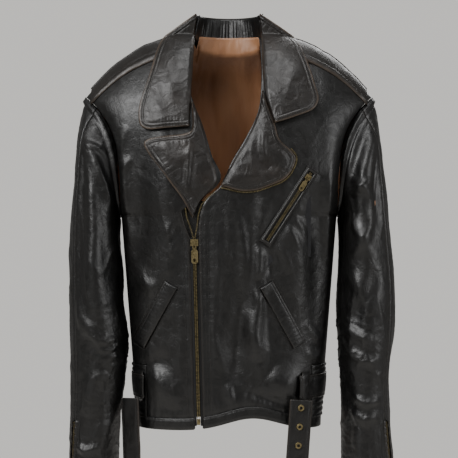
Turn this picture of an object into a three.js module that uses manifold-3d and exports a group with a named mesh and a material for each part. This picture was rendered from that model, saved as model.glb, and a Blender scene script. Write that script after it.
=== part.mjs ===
// A leather riding jacket with a slanted front zip, hung by its neck from a hanger.
// Millimetres. The origin is the hanger seat in the middle of the neck, +Z is up,
// the front faces -Y and the wearer's left is at +X.
import * as THREE from "three";
import { mergeVertices } from "three/addons/utils/BufferGeometryUtils.js";
import Module from "manifold-3d";

const wasm = await Module();
wasm.setup();
const { lerp, clamp, smoothstep, degToRad } = THREE.MathUtils;

// ---------------------------------------------------------------- driving dimensions
const SHOULDER_HALF = 245; // middle of the neck to a shoulder point
const SHOULDER_DROP = 98; // hanger seat down to the shoulder points
const NECK_HALF = 60; // middle to the neck end of a shoulder seam
const NECK_RISE = 5; // shoulder seam above the hanger seat, at the neck
const CHEST_HALF = 184; // half width under the arms
const HEM_HALF = 156; // half width at the hem
const UNDERARM_DROP = 300;
const BODY_LENGTH = 657; // hanger seat to the lower edge of the hem band
const BODY_FRONT = 108; // depth in front of the shoulder seams
const BODY_BACK = 92; // depth behind them
const ARMHOLE_DEPTH = 55; // half depth of an armhole
const SLEEVE_END_DROP = 745;

const LEATHER = 1.6; // one layer with its backing
const LINING = 0.8;
const SEAM_GAP = 0.5; // between two pieces sewn edge to edge
const LAY_GAP = 0.4; // between a piece and what it lies on
const LINING_INSET = 12; // lining behind the outer face of the leather

const HEM_BAND = 20; // height of the band along the lower edge
const HEM_BAND_THICK = 5;
const HEM_LIFT = 20; // how far the left front hangs above the right one at its middle

const COLLAR_TOP = 45; // top fold of the collar above the hanger seat
const COLLAR_FALL = 62; // how far the top of the collar reaches behind the neck's middle

const ZIP_TOP_DROP = 338; // top of the closed part of the main zip
const ZIP_TOP_X = -57.5; // its offset from the middle, to the wearer's right
const MAIN_GAUGE = 1; // size of the main zip
const POCKET_GAUGE = 0.75; // size of the chest and cuff zips

const BELT_HEIGHT = 38;
const BELT_THICK = 2.6;
const BELT_DROP = 567; // upper edge of the belt
const KIDNEY_DROP = 551; // upper edge of the pleated side panels
const KIDNEY_FRONT = 138; // their front and back edges, from the middle

// ---------------------------------------------------------------- materials
const material = (color, roughness, metalness) =>
  new THREE.MeshStandardMaterial({ color, roughness, metalness });
const blackLeather = material(0x1f1d1c, 0.42, 0);
const collarLeather = material(0x2b2320, 0.45, 0);
const ribbedLeather = material(0x191817, 0.5, 0);
const satin = material(0x7c5238, 0.35, 0);
const pocketing = material(0x202022, 0.9, 0);
const zipTape = material(0x141415, 0.85, 0);
const antiqueBrass = material(0x9a8556, 0.38, 1);

const jacket = new THREE.Group();

function add(name, geometry, look, parent = jacket) {
  geometry.computeVertexNormals();
  const mesh = new THREE.Mesh(geometry, look);
  mesh.name = name;
  parent.add(mesh);
  return mesh;
}

// ---------------------------------------------------------------- solids
// The closed solid between two grids of points, each a list of rows.
// A ring's rows close on themselves.
function between(outer, inner, ring = false) {
  const rows = outer.length;
  const columns = outer[0].length;
  const positions = [...outer.flat(), ...inner.flat()].flatMap((p) => p.toArray());
  const offset = rows * columns;
  const index = [];
  const quad = (a, b, c, d) => index.push(a, b, c, a, c, d);
  const at = (j, i) => j * columns + (i % columns);
  const spans = ring ? columns : columns - 1;
  for (let j = 0; j < rows - 1; j += 1) {
    for (let i = 0; i < spans; i += 1) {
      const [a, b, c, d] = [at(j, i), at(j, i + 1), at(j + 1, i + 1), at(j + 1, i)];
      quad(a, b, c, d);
      quad(offset + a, offset + d, offset + c, offset + b);
    }
    if (ring) continue;
    for (const [i, flip] of [[0, false], [columns - 1, true]]) {
      const [a, b] = flip ? [at(j + 1, i), at(j, i)] : [at(j, i), at(j + 1, i)];
      quad(a, b, offset + b, offset + a);
    }
  }
  for (let i = 0; i < spans; i += 1) {
    for (const [j, flip] of [[0, true], [rows - 1, false]]) {
      const [a, b] = flip ? [at(j, i + 1), at(j, i)] : [at(j, i), at(j, i + 1)];
      quad(a, b, offset + b, offset + a);
    }
  }
  const solid = new THREE.BufferGeometry();
  solid.setAttribute("position", new THREE.Float32BufferAttribute(positions, 3));
  if (volume(positions, index) < 0) index.reverse();
  solid.setIndex(index);
  return solid;
}

function volume(positions, index) {
  const corner = (k) => new THREE.Vector3().fromArray(positions, index[k] * 3);
  let sum = 0;
  for (let k = 0; k < index.length; k += 3) {
    sum += corner(k).dot(corner(k + 1).cross(corner(k + 2)));
  }
  return sum / 6;
}

// Rows of points from a function of u along a row and v down the rows, both 0 to 1.
function grid(columns, rows, point) {
  return Array.from({ length: rows + 1 }, (_, j) =>
    Array.from({ length: columns + 1 }, (_, i) => point(i / columns, j / rows)),
  );
}

function toManifold(geometry) {
  const bare = geometry.index ? geometry.toNonIndexed() : geometry.clone();
  bare.deleteAttribute("normal");
  bare.deleteAttribute("uv");
  const merged = mergeVertices(bare, 1e-4);
  return new wasm.Manifold(
    new wasm.Mesh({
      numProp: 3,
      vertProperties: merged.attributes.position.array,
      triVerts: new Uint32Array(merged.index.array),
    }),
  );
}

function fromManifold(solid) {
  const mesh = solid.getMesh();
  const geometry = new THREE.BufferGeometry();
  geometry.setAttribute("position", new THREE.BufferAttribute(mesh.vertProperties, 3));
  geometry.setIndex(new THREE.BufferAttribute(mesh.triVerts, 1));
  return geometry;
}

const joined = (...parts) =>
  fromManifold(parts.map(toManifold).reduce((whole, part) => whole.add(part)));
const without = (whole, ...cuts) =>
  fromManifold(cuts.map(toManifold).reduce((left, cut) => left.subtract(cut), toManifold(whole)));

// A box from its lower and upper limits on X, Y and Z.
function block([x0, x1], [y0, y1], [z0, z1]) {
  const box = new THREE.BoxGeometry(x1 - x0, y1 - y0, z1 - z0);
  return box.translate((x0 + x1) / 2, (y0 + y1) / 2, (z0 + z1) / 2);
}

// A flat plate from an outline in X and Z, with its front face at -thickness.
function plate(outline, thickness) {
  const solid = new THREE.ExtrudeGeometry(outline, { depth: thickness, bevelEnabled: false });
  return solid.rotateX(Math.PI / 2);
}

// A round cutter through a plate, at a place in X and Z.
function drill(x, z, radius, sides) {
  return new THREE.CylinderGeometry(radius, radius, 20, sides).translate(x, 0, z);
}

// A smooth function through [position, value] pairs.
function through(pairs) {
  const last = pairs.length - 1;
  const slope = (i) => {
    const [before, low] = pairs[Math.max(i - 1, 0)];
    const [after, high] = pairs[Math.min(i + 1, last)];
    return (high - low) / (after - before);
  };
  return (at) => {
    let k = 0;
    while (k < last - 1 && at > pairs[k + 1][0]) k += 1;
    const [start, from] = pairs[k];
    const [end, to] = pairs[k + 1];
    const f = clamp((at - start) / (end - start), 0, 1);
    const bend = (end - start) * f * (1 - f);
    const eased = f * f * (3 - 2 * f);
    return lerp(from, to, eased) + bend * ((1 - f) * slope(k) - f * slope(k + 1));
  };
}

// A smooth line through [x, z] points, evened out by length, from 0 to 1.
function line(points) {
  const curve = new THREE.CatmullRomCurve3(
    points.map(([x, z]) => new THREE.Vector3(x, 0, z)),
    false,
    "centripetal",
  );
  return (f) => curve.getPointAt(clamp(f, 0, 1));
}

// ---------------------------------------------------------------- body surface
// Half width of the body: the shoulders, then the armhole edge, then the side seam.
function halfWidth(z) {
  const drop = -z;
  if (drop < SHOULDER_DROP) return SHOULDER_HALF;
  if (drop < UNDERARM_DROP) {
    const down = (drop - SHOULDER_DROP) / (UNDERARM_DROP - SHOULDER_DROP);
    return CHEST_HALF + (SHOULDER_HALF - CHEST_HALF) * (1 - down) ** 4;
  }
  const down = (drop - UNDERARM_DROP) / (BODY_LENGTH - UNDERARM_DROP);
  return lerp(CHEST_HALF, HEM_HALF, Math.min(down, 1));
}

// Height of the shoulder seam at a distance from the middle.
function shoulderZ(x) {
  const out = clamp((Math.abs(x) - NECK_HALF) / (SHOULDER_HALF - NECK_HALF), 0, 1);
  return NECK_RISE - (SHOULDER_DROP + NECK_RISE) * out ** 2.2;
}

function armholeDepth(z) {
  const widest = lerp(SHOULDER_DROP, UNDERARM_DROP, 0.5);
  const down = clamp((-z - widest) / (UNDERARM_DROP - widest), 0, 1);
  return ARMHOLE_DEPTH * Math.sqrt(1 - down ** 2);
}

// How far the body stands out from the seams. A positive inset lies inside it.
function bulge(x, z, inset, depth, roll) {
  const across = clamp(Math.abs(x) / (halfWidth(z) - inset), 0, 1);
  const edge = Math.max(armholeDepth(z) - inset, 0);
  const dome = (1 - across ** 3) ** (1 / 3);
  const below = clamp((shoulderZ(x) - inset - z) / roll, 0, 1);
  const rise = (1 - (1 - below) ** 2.2) ** 0.62;
  return (edge + (depth - inset - edge) * dome) * rise;
}

const FRONT_ROLL = 280; // length over which the chest comes forward under the shoulder
const BACK_ROLL = 95;
const frontY = (x, z, inset = 0) => -bulge(x, z, inset, BODY_FRONT, FRONT_ROLL) - SEAM_GAP / 2;
const backY = (x, z, inset = 0) => bulge(x, z, inset, BODY_BACK, BACK_ROLL) + SEAM_GAP / 2;

// Lower edge of the hem band.
const hemZ = (x) => -BODY_LENGTH + HEM_LIFT * Math.exp(-(((x - 40) / 60) ** 2));
const hemTopZ = (x) => hemZ(x) + HEM_BAND;

// A piece of leather or cloth cut to four edges. inner and outer give its side edges at
// a height, top and bottom its ends at a place across; y gives the depth of a layer.
function panel({ side = 1, inner, outer, top, bottom, y, columns, rows, thick, inset = 0 }) {
  const spread = (u) => 1 - (1 - u) ** 1.8;
  const both = (u) => 0.5 + 0.5 * Math.sign(2 * u - 1) * spread(Math.abs(2 * u - 1));
  const fraction = inner ? spread : both;
  const left = inner ?? ((z, d) => -outer(z, d));
  const layer = (d) =>
    grid(columns, rows, (u, v) => {
      const across = (z) => side * lerp(left(z, d), outer(z, d), fraction(u));
      const settle = (edge) => {
        let z = edge(across(0), d);
        for (let turn = 0; turn < 6; turn += 1) z = edge(across(z), d);
        return z;
      };
      const z = lerp(settle(top), settle(bottom), v);
      return new THREE.Vector3(across(z), y(across(z), z, d), z);
    });
  return between(layer(inset), layer(inset + thick));
}

const seamTop = (x, d) => shoulderZ(x) - d;
const toSide = (z, d) => halfWidth(z) - d;

// A piece ruled between two lines in X and Z, at a height above the body front.
function laid(lineA, lineB, height, thick, columns, rows) {
  const layer = (up) =>
    grid(columns, rows, (u, v) => {
      const p = lineA(v).lerp(lineB(v), u);
      const rise = height(u, v);
      return p.setY(Math.min(frontY(p.x, p.z, -rise), -rise) - up);
    });
  return between(layer(thick), layer(0));
}

// ---------------------------------------------------------------- main zip line
const ZIP_BOTTOM_DROP = BODY_LENGTH - 8;
const zipX = (z) => (ZIP_TOP_X * halfWidth(z)) / halfWidth(-ZIP_TOP_DROP);
const ZIP_LEVEL = 1.5; // middle of the chain behind the face of the leather

// Cross-section of a zip at gauge 1, measured from the middle of the chain.
const WEB = 0.35; // half thickness of the slider's middle wall
const TEETH_IN = 0.75;
const TEETH_OUT = 2.9;
const TEETH_HALF = 1.1; // half thickness of the teeth
const TAPE_IN = 3.2;
const TAPE_OUT = 7.5;
const TAPE_HALF = 0.4;
const SLIDER_HALF = 6.4;
const SLIDER_LONG = 11;
const SLIDER_PLATE = 1.2;
const LIP = 1.2;
const RUN_GAP = 0.3;

const zipEdge = TAPE_OUT + SEAM_GAP;

// ---------------------------------------------------------------- fronts
// Edge of the left front, from the neck down the roll line, round the foot of the lapel
// and along the zip. Pairs of drop and offset towards the wearer's left.
const leftEdgeUpper = through([
  [-5, 52], [67, 55], [89, 54], [128, 49], [175, 27], [213, 5], [247, -10], [258, -18],
  [265, -27], [277, -38], [292, -45], [311, -48.5], [ZIP_TOP_DROP, ZIP_TOP_X + zipEdge],
]);
const leftEdge = (z) => (-z < ZIP_TOP_DROP ? leftEdgeUpper(-z) : zipX(z) + zipEdge);

// Edge of the right front: the roll line, then clear of both chains, then the zip.
const rightEdgeUpper = through([
  [-5, 59], [67, 62], [102, 63], [112, 60], [144, 47], [202, 29], [248, 17], [258, 26],
  [266, 36], [277, 48], [285, 66], [292, 77], [304, 77], [322, 72],
  [ZIP_TOP_DROP, zipEdge - ZIP_TOP_X],
]);
const rightEdge = (z) => (-z < ZIP_TOP_DROP ? rightEdgeUpper(-z) : zipEdge - zipX(z));

// The slit behind a slanted pocket, as a box turned along the pocket.
function slit(from, to, width) {
  const start = new THREE.Vector3(from[0], frontY(...from), from[1]);
  const end = new THREE.Vector3(to[0], frontY(...to), to[1]);
  const cut = new THREE.BoxGeometry(width, 16, start.distanceTo(end));
  const along = start.clone().sub(end).normalize();
  const outward = new THREE.Vector3(0, -1, 0).addScaledVector(along, along.y).normalize();
  const across = new THREE.Vector3().crossVectors(along, outward);
  const turn = new THREE.Matrix4().makeBasis(across, outward.negate(), along);
  turn.setPosition(start.add(end).multiplyScalar(0.5));
  return cut.applyMatrix4(turn);
}

// The slanted hand pockets: each welt runs from its inner top end down and outwards.
const POCKET_LONG = 115;
const POCKET_WIDE = 23;
const POCKET_TOP_DROP = 416;
const handPockets = {
  right: { side: -1, x: 96, slope: 61 },
  left: { side: 1, x: 62, slope: 61 },
};
for (const pocket of Object.values(handPockets)) {
  const run = [
    pocket.side * Math.cos(degToRad(pocket.slope)),
    -Math.sin(degToRad(pocket.slope)),
  ];
  const start = [pocket.side * pocket.x, -POCKET_TOP_DROP];
  pocket.at = (along, across) => [
    start[0] + run[0] * along - pocket.side * run[1] * across,
    start[1] + run[1] * along + pocket.side * run[0] * across,
  ];
}

// The slanted chest pocket on the left front, from its lower end to its upper end.
const CHEST_LOW = [62, -344];
const CHEST_LONG = 136;
const CHEST_SLOPE = 57; // degrees above the horizontal
const chestRun = [Math.cos(degToRad(CHEST_SLOPE)), Math.sin(degToRad(CHEST_SLOPE))];
const chestHigh = [
  CHEST_LOW[0] + CHEST_LONG * chestRun[0],
  CHEST_LOW[1] + CHEST_LONG * chestRun[1],
];
const CHEST_FRAME_WALL = 4.6;
const chestSlotHalf = SLIDER_HALF * POCKET_GAUGE + 0.45;

// The notch that a pleated side panel fills in the panel beside it.
const kidneyNotch = (side) =>
  block(
    side > 0 ? [KIDNEY_FRONT, 2 * SHOULDER_HALF] : [-2 * SHOULDER_HALF, -KIDNEY_FRONT],
    [-2 * BODY_FRONT, 2 * BODY_BACK],
    [-2 * BODY_LENGTH, -KIDNEY_DROP],
  );

function addFronts() {
  const shared = {
    outer: toSide,
    top: seamTop,
    bottom: (x) => hemTopZ(x) + 2 * SEAM_GAP,
    y: frontY,
    columns: 11,
    rows: 13,
    thick: LEATHER,
  };
  const fronts = {
    right: panel({ ...shared, side: -1, inner: rightEdge }),
    left: panel({ ...shared, side: 1, inner: leftEdge }),
  };
  for (const [name, pocket] of Object.entries(handPockets)) {
    const mouth = slit(pocket.at(8, 0), pocket.at(POCKET_LONG - 8, 0), 3);
    const cuts = [mouth, kidneyNotch(pocket.side)];
    if (name === "left") {
      cuts.push(slit(CHEST_LOW, chestHigh, 2 * chestSlotHalf));
    }
    add(`${name}_front`, without(fronts[name], ...cuts), blackLeather);
  }
}

// ---------------------------------------------------------------- back
const BACK_NECK_DROP = 16; // how far the neck line dips behind the neck
const backNeck = (x) => {
  const middle = Math.sqrt(Math.max(0, 1 - (x / NECK_HALF) ** 2));
  return shoulderZ(x) - BACK_NECK_DROP * middle;
};

function addBack() {
  const back = panel({
    outer: toSide,
    top: (x, d) => backNeck(x) - d,
    bottom: () => -BODY_LENGTH + HEM_BAND + 2 * SEAM_GAP,
    y: backY,
    columns: 18,
    rows: 12,
    thick: LEATHER,
  });
  add("back_panel", without(back, kidneyNotch(1), kidneyNotch(-1)), blackLeather);
}

// ---------------------------------------------------------------- sides, hem and lining
// The pleated panel round each side at the waist, between the front and the back.
function addKidneyPanel(name, side) {
  const layer = (d) =>
    grid(10, 3, (u, v) => {
      const turn = 2 * u - 1;
      const z = lerp(-KIDNEY_DROP - SEAM_GAP, hemTopZ(KIDNEY_FRONT) + SEAM_GAP, v);
      const wide = halfWidth(z) - d;
      const x = side * lerp(wide, KIDNEY_FRONT + SEAM_GAP, Math.abs(turn) ** 1.8);
      const depth = turn < 0 ? frontY(x, z, d) : backY(x, z, d);
      return new THREE.Vector3(x, turn === 0 ? 0 : depth, z);
    });
  add(`${name}_kidney_panel`, between(layer(0), layer(LEATHER)), ribbedLeather);
}

function addHemBands() {
  const shared = {
    outer: toSide,
    top: hemTopZ,
    bottom: hemZ,
    rows: 1,
    thick: HEM_BAND_THICK,
    inset: -0.8,
  };
  const bands = {
    right: { side: -1, inner: (z) => zipEdge - zipX(z), y: frontY, columns: 10 },
    left: { side: 1, inner: (z) => zipEdge + zipX(z), y: frontY, columns: 12 },
    back: {
      y: backY,
      columns: 18,
      top: () => -BODY_LENGTH + HEM_BAND,
      bottom: () => -BODY_LENGTH,
    },
  };
  for (const [name, band] of Object.entries(bands)) {
    add(`${name}_hem_band`, panel({ ...shared, ...band }), blackLeather);
  }
}

// The satin comes forward to the hem band at its lower edge.
const liningInset = (z) =>
  lerp(LINING_INSET, HEM_BAND_THICK, smoothstep(-z, BODY_LENGTH - 60, BODY_LENGTH - 12));

function addLinings() {
  const FACING = 26; // leather facing between a front edge and its lining
  const behind = (surface) => (x, z, d) => surface(x, z, liningInset(z) + d);
  const toLining = (z, d) => halfWidth(z) - liningInset(z) - d;
  const shared = {
    outer: toLining,
    top: (x, d) => shoulderZ(x) - LINING_INSET - d,
    bottom: (x) => hemZ(x) + 10,
    thick: LINING,
    rows: 10,
  };
  const front = { ...shared, y: behind(frontY), columns: 7 };
  add(
    "right_front_lining",
    panel({ ...front, side: -1, inner: (z) => rightEdge(z) + FACING }),
    satin,
  );
  add(
    "left_front_lining",
    panel({ ...front, side: 1, inner: (z) => Math.max(leftEdge(z), 0) + FACING }),
    satin,
  );
  const backTop = (x, d) => backNeck(x) - LINING_INSET - d;
  const backPiece = { ...shared, y: behind(backY), top: backTop, columns: 14 };
  add("back_lining", panel({ ...backPiece, bottom: () => -BODY_LENGTH + 10 }), satin);
}

// The flap behind the zip, sewn to the inside of the right front.
function addUnderlap() {
  const REACH = 22;
  const START = 79;
  const rest = 8;
  const depth = (x) => lerp(LEATHER + 4 * LAY_GAP, rest, smoothstep(x, -START, -START + 14));
  const flap = panel({
    side: 1,
    inner: () => -START,
    outer: () => REACH,
    top: () => -(ZIP_TOP_DROP - 60),
    bottom: (x) => hemTopZ(x) + SEAM_GAP,
    y: (x, z, d) => frontY(x, z, depth(x) + d),
    columns: 10,
    rows: 8,
    thick: LEATHER,
  });
  add("zip_underlap", flap, blackLeather);
}

// ---------------------------------------------------------------- collar
// The neck line behind the neck, from the wearer's left (0) round to the right (1).
function neckBase(f) {
  const x = NECK_HALF * Math.cos(Math.PI * f);
  const z = backNeck(x);
  return new THREE.Vector3(x, backY(x, z), z);
}

const COLLAR_HALF = 55; // half width across the top fold
function neckTop(f, out = 0) {
  const half = COLLAR_HALF + out;
  return new THREE.Vector3(
    half * Math.cos(Math.PI * f),
    (COLLAR_FALL + out) * Math.sin(Math.PI * f) - 4.4,
    COLLAR_TOP,
  );
}

function addCollarStand() {
  const layer = (d) =>
    grid(14, 2, (u, v) => {
      const foot = neckBase(u).add(new THREE.Vector3(0, 0, 2 * SEAM_GAP));
      const p = neckTop(u, -d - 3).setZ(COLLAR_TOP - 2).lerp(foot, v);
      p.y = Math.max(p.y, -1);
      return p;
    });
  const outward = (row) => row.map((p) => new THREE.Vector3(p.x * 0.97, p.y - LEATHER, p.z));
  add("collar_stand", between(layer(0), layer(0).map(outward)), collarLeather);
}

// The part of the collar that falls over the back, from the top fold.
const COLLAR_BACK_DEPTH = 75;
function addCollarBack() {
  const layer = (d) =>
    grid(14, 3, (u, v) => {
      const flare = LAY_GAP + 1.5 + (2.5 + 20 * Math.sin(Math.PI * u)) * v + d;
      const p = neckTop(u, flare);
      p.z = COLLAR_TOP - lerp(COLLAR_BACK_DEPTH * 0.35, COLLAR_BACK_DEPTH, Math.sin(Math.PI * u)) * v;
      const onBack = p.z < shoulderZ(p.x) + LAY_GAP + 2;
      return onBack ? p.setY(Math.max(p.y, backY(p.x, p.z, -LAY_GAP - 1 - d))) : p;
    });
  add("collar_back", between(layer(LEATHER), layer(0)), collarLeather);
}

// A collar leaf lies on the chest from its fold at the neck out to its point.
const LEAF_HEIGHT = 5;
function addCollarLeaf(name, fold, edge) {
  const rise = (u) => LEAF_HEIGHT + 3 * Math.sin(Math.PI * u);
  add(`${name}_collar_leaf`, laid(line(fold), line(edge), rise, LEATHER, 5, 9), collarLeather);
}

// ---------------------------------------------------------------- lapels
const LAPEL_HEIGHT = 0.8;
function addLapel(name, roll, edge) {
  const rise = (u) => LAPEL_HEIGHT + 5 * Math.sin(Math.PI * u);
  add(`${name}_lapel`, laid(line(roll), line(edge), rise, LEATHER, 4, 14), collarLeather);
}

const leftLapelEdge = [
  [57, -95], [62, -112], [76, -150], [83, -175], [104, -196], [110, -207], [101, -231],
  [89, -243], [68, -252], [43, -260], [20, -261], [-3, -256], [-12, -254],
];
const leftLapelRoll = [[55, -94], [49, -128], [27, -175], [5, -213], [-12, -248]];
const rightLapelEdge = [
  [-62, -116], [-64, -163], [-100, -169], [-134, -175], [-141, -182], [-102, -240],
  [-76, -276], [-61, -305],
];
const rightLapelRoll = [
  [-60.5, -113], [-47, -144], [-29, -202], [-18, -246], [-26, -257], [-47, -280], [-58, -303],
];

// ---------------------------------------------------------------- zip chains
// A strip of teeth along points in X and Z, on the zip's level in the body front.
function teethStrip(points, sideways, level = ZIP_LEVEL) {
  const width = (TEETH_OUT - TEETH_IN) * MAIN_GAUGE;
  const rail = points.map(([x, z], i) => {
    const [xa, za] = points[Math.max(i - 1, 0)];
    const [xb, zb] = points[Math.min(i + 1, points.length - 1)];
    const across = new THREE.Vector3(zb - za, 0, xa - xb).normalize();
    return { p: new THREE.Vector3(x, frontY(x, z, level), z), across };
  });
  const layer = (depth) =>
    rail.map(({ p, across }) =>
      [-0.5, 0.5].map((k) => {
        const q = p.clone().addScaledVector(across, k * width * sideways);
        return q.setY(q.y + depth);
      }),
    );
  return between(layer(-TEETH_HALF), layer(TEETH_HALF));
}

// Points of a half chain along the closed zip, from its bottom up to the slider.
const CHAIN_END_DROP = ZIP_BOTTOM_DROP - 11;
const chainMiddle = (TEETH_IN + TEETH_OUT) / 2;
const closedChain = (side) =>
  [CHAIN_END_DROP, ZIP_TOP_DROP].map((drop) => [zipX(-drop) + side * chainMiddle, -drop]);

function addMainZip() {
  add(
    "right_zip_teeth",
    teethStrip([...closedChain(-1), [-63, -324], [-70, -304], [-72, -290]], 1),
    antiqueBrass,
  );
  add(
    "left_zip_teeth",
    teethStrip(
      [...closedChain(1), [-53.5, -318], [-52.5, -304], [-51.5, -296]],
      1,
    ),
    antiqueBrass,
  );
  for (const [name, side] of [["right", -1], ["left", 1]]) {
    const layer = (depth) =>
      grid(1, 1, (u, v) => {
        const z = -lerp(ZIP_TOP_DROP, ZIP_BOTTOM_DROP, v);
        const x = zipX(z) + side * lerp(TAPE_IN, TAPE_OUT, u);
        return new THREE.Vector3(x, frontY(zipX(z), z, ZIP_LEVEL) + depth, z);
      });
    add(`${name}_zip_tape`, between(layer(-TAPE_HALF), layer(TAPE_HALF)), zipTape);
  }
  const z = -CHAIN_END_DROP - RUN_GAP;
  const retainer = block([-TEETH_OUT, TEETH_OUT], [-1.8, 1.8], [-9, 0]);
  const place = new THREE.Vector3(zipX(z), frontY(zipX(z), z, ZIP_LEVEL), z);
  add("zip_retainer", retainer, antiqueBrass).position.copy(place);
}

// The half chain on the lower edge of the left lapel, from the foot of the roll line.
function addLapelTeeth() {
  const lower = leftLapelEdge.slice(5).reverse();
  const points = lower.map(([x, z], i) => {
    const [xa, za] = lower[Math.max(i - 1, 0)];
    const [xb, zb] = lower[Math.min(i + 1, lower.length - 1)];
    const out = new THREE.Vector2(zb - za, xa - xb).normalize();
    return [x + out.x * 2.8, z + out.y * 2.8];
  });
  add("left_lapel_teeth", teethStrip(points, 1, -LAPEL_HEIGHT - LEATHER / 2), antiqueBrass);
}

// A slider: two plates and a middle wall round both half chains, with a bridge for its
// pull. It is drawn with the zip along Z and the face of the jacket towards -Y.
function slider(gauge) {
  const near = TEETH_HALF + RUN_GAP;
  const far = near + SLIDER_PLATE;
  const slot = TAPE_HALF + RUN_GAP;
  const wide = SLIDER_HALF;
  const quarter = [[wide, -slot], [wide - LIP, -slot], [wide - LIP, -near], [WEB, -near]];
  const mirror = (points, sx, sy) => points.map(([x, y]) => [sx * x, sy * y]);
  const outline = [
    [-wide, -far], [wide, -far], ...quarter, ...mirror([...quarter].reverse(), 1, -1),
    [wide, far], [-wide, far], ...mirror(quarter, -1, -1), ...mirror([...quarter].reverse(), -1, 1),
  ];
  const shape = new THREE.Shape(outline.map(([x, y]) => new THREE.Vector2(x, y)));
  const body = new THREE.ExtrudeGeometry(shape, { depth: SLIDER_LONG, bevelEnabled: false });
  body.translate(0, 0, -SLIDER_LONG / 2);
  const leg = (z) => block([-1.3, 1.3], [-far - BAIL_GAP - 0.5, -far + 0.5], [z - 0.6, z + 0.6]);
  const bar = block([-1.3, 1.3], [-far - BAIL_GAP - 1.2, -far - BAIL_GAP], [-3.6, 3.6]);
  return joined(body, leg(3), leg(-3), bar).scale(gauge, gauge, gauge);
}
const BAIL_GAP = 2.1; // room under the bridge for the eye of the pull
const pullPivot = TEETH_HALF + RUN_GAP + SLIDER_PLATE + BAIL_GAP / 2;

// A pull: a narrow eye round the bridge, then a flat tab with a round hole.
const PULL_LONG = 35;
const PULL_HALF = 5.6;
function pull(gauge) {
  const eyeHalf = 3.2;
  const rim = 0.6;
  const neck = 11.5;
  const outline = new THREE.Shape();
  outline.moveTo(-eyeHalf, rim);
  outline.lineTo(eyeHalf, rim);
  outline.lineTo(eyeHalf, -neck);
  outline.lineTo(PULL_HALF, -neck - 3);
  outline.lineTo(PULL_HALF, -PULL_LONG + 3);
  outline.lineTo(PULL_HALF - 3, -PULL_LONG);
  outline.lineTo(-PULL_HALF + 3, -PULL_LONG);
  outline.lineTo(-PULL_HALF, -PULL_LONG + 3);
  outline.lineTo(-PULL_HALF, -neck - 3);
  outline.lineTo(-eyeHalf, -neck);
  const eye = new THREE.Path();
  eye.moveTo(-2, -rim);
  eye.lineTo(-2, -9);
  eye.lineTo(2, -9);
  eye.lineTo(2, -rim);
  outline.holes.push(eye);
  const tab = plate(outline, 2 * rim).translate(0, rim, 0);
  return without(tab, drill(0, -PULL_LONG + 6, 2.9, 10)).scale(gauge, gauge, gauge);
}

// A chain that stays closed at both ends, with its tape, for the pocket and cuff zips.
function closedZip(length, gauge, tapeOut) {
  const half = (side) => {
    const teeth = [TEETH_IN, TEETH_OUT + 0.1].map((x) => side * x).sort((a, b) => a - b);
    const tape = [TEETH_OUT, tapeOut / gauge].map((x) => side * x).sort((a, b) => a - b);
    return [
      block(teeth, [-TEETH_HALF, TEETH_HALF], [-length / gauge, 0]),
      block(tape, [-TAPE_HALF, TAPE_HALF], [-length / gauge, 0]),
    ];
  };
  const stop = (z) =>
    block([-TEETH_OUT, TEETH_OUT], [-TEETH_HALF - 0.2, TEETH_HALF + 0.2], [z - 1.5, z + 1.5]);
  const ends = [stop(-1.5), stop(-length / gauge + 1.5)];
  return joined(...half(1), ...half(-1), ...ends).scale(gauge, gauge, gauge);
}

// A group whose Z runs up a zip and whose -Y faces out of the leather.
function zipGroup(origin, up, outward, parent = jacket) {
  const along = up.clone().normalize();
  const face = outward.clone().addScaledVector(along, -outward.dot(along)).normalize();
  const inward = face.clone().negate();
  const across = new THREE.Vector3().crossVectors(inward, along);
  const group = new THREE.Group();
  group.applyMatrix4(new THREE.Matrix4().makeBasis(across, inward, along).setPosition(origin));
  parent.add(group);
  return group;
}

function addMainSlider() {
  const z = -ZIP_TOP_DROP - SLIDER_LONG / 2 - 3;
  const level = (drop) => frontY(zipX(-drop), -drop, ZIP_LEVEL);
  const top = new THREE.Vector3(zipX(-ZIP_TOP_DROP), level(ZIP_TOP_DROP), -ZIP_TOP_DROP);
  const low = new THREE.Vector3(zipX(-CHAIN_END_DROP), level(CHAIN_END_DROP), -CHAIN_END_DROP);
  const origin = new THREE.Vector3(zipX(z), level(-z), z);
  const group = zipGroup(origin, top.sub(low), new THREE.Vector3(0, -1, 0));
  add("main_zip_slider", slider(MAIN_GAUGE), antiqueBrass, group);
  add("main_zip_pull", pull(MAIN_GAUGE), antiqueBrass, group).position.y = -pullPivot * MAIN_GAUGE;
}

// ---------------------------------------------------------------- pockets
// A hand pocket: a folded welt on the front and a flat bag behind its slit.
function addHandPocket(name, pocket) {
  const HALF = POCKET_WIDE / 2;
  const flat = (from, to) => (v) => {
    const [x, z] = [lerp(from[0], to[0], v), lerp(from[1], to[1], v)];
    return new THREE.Vector3(x, 0, z);
  };
  const edge = (across) => flat(pocket.at(0, across), pocket.at(POCKET_LONG, across));
  const welt = laid(edge(-HALF), edge(HALF), () => 2 * LAY_GAP, 1.5 * LEATHER, 5, 7);
  add(`${name}_pocket_welt`, welt, blackLeather);
  const BAG_DEEP = 62;
  const BAG_THICK = 2;
  const bagEdge = (across, drop) => {
    const hang = (point) => [point[0], Math.max(point[1] - drop, -KIDNEY_DROP + 5)];
    return flat(hang(pocket.at(4, across)), hang(pocket.at(POCKET_LONG - 4, across)));
  };
  const upper = bagEdge(0, -6);
  const lower = bagEdge(0, BAG_DEEP);
  const layer = (d) =>
    grid(4, 6, (u, v) => {
      const p = upper(v).lerp(lower(v), u);
      return p.setY(frontY(p.x, p.z, LEATHER + 2 * LAY_GAP + d));
    });
  add(`${name}_pocket_bag`, between(layer(0), layer(BAG_THICK)), pocketing);
}

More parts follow.
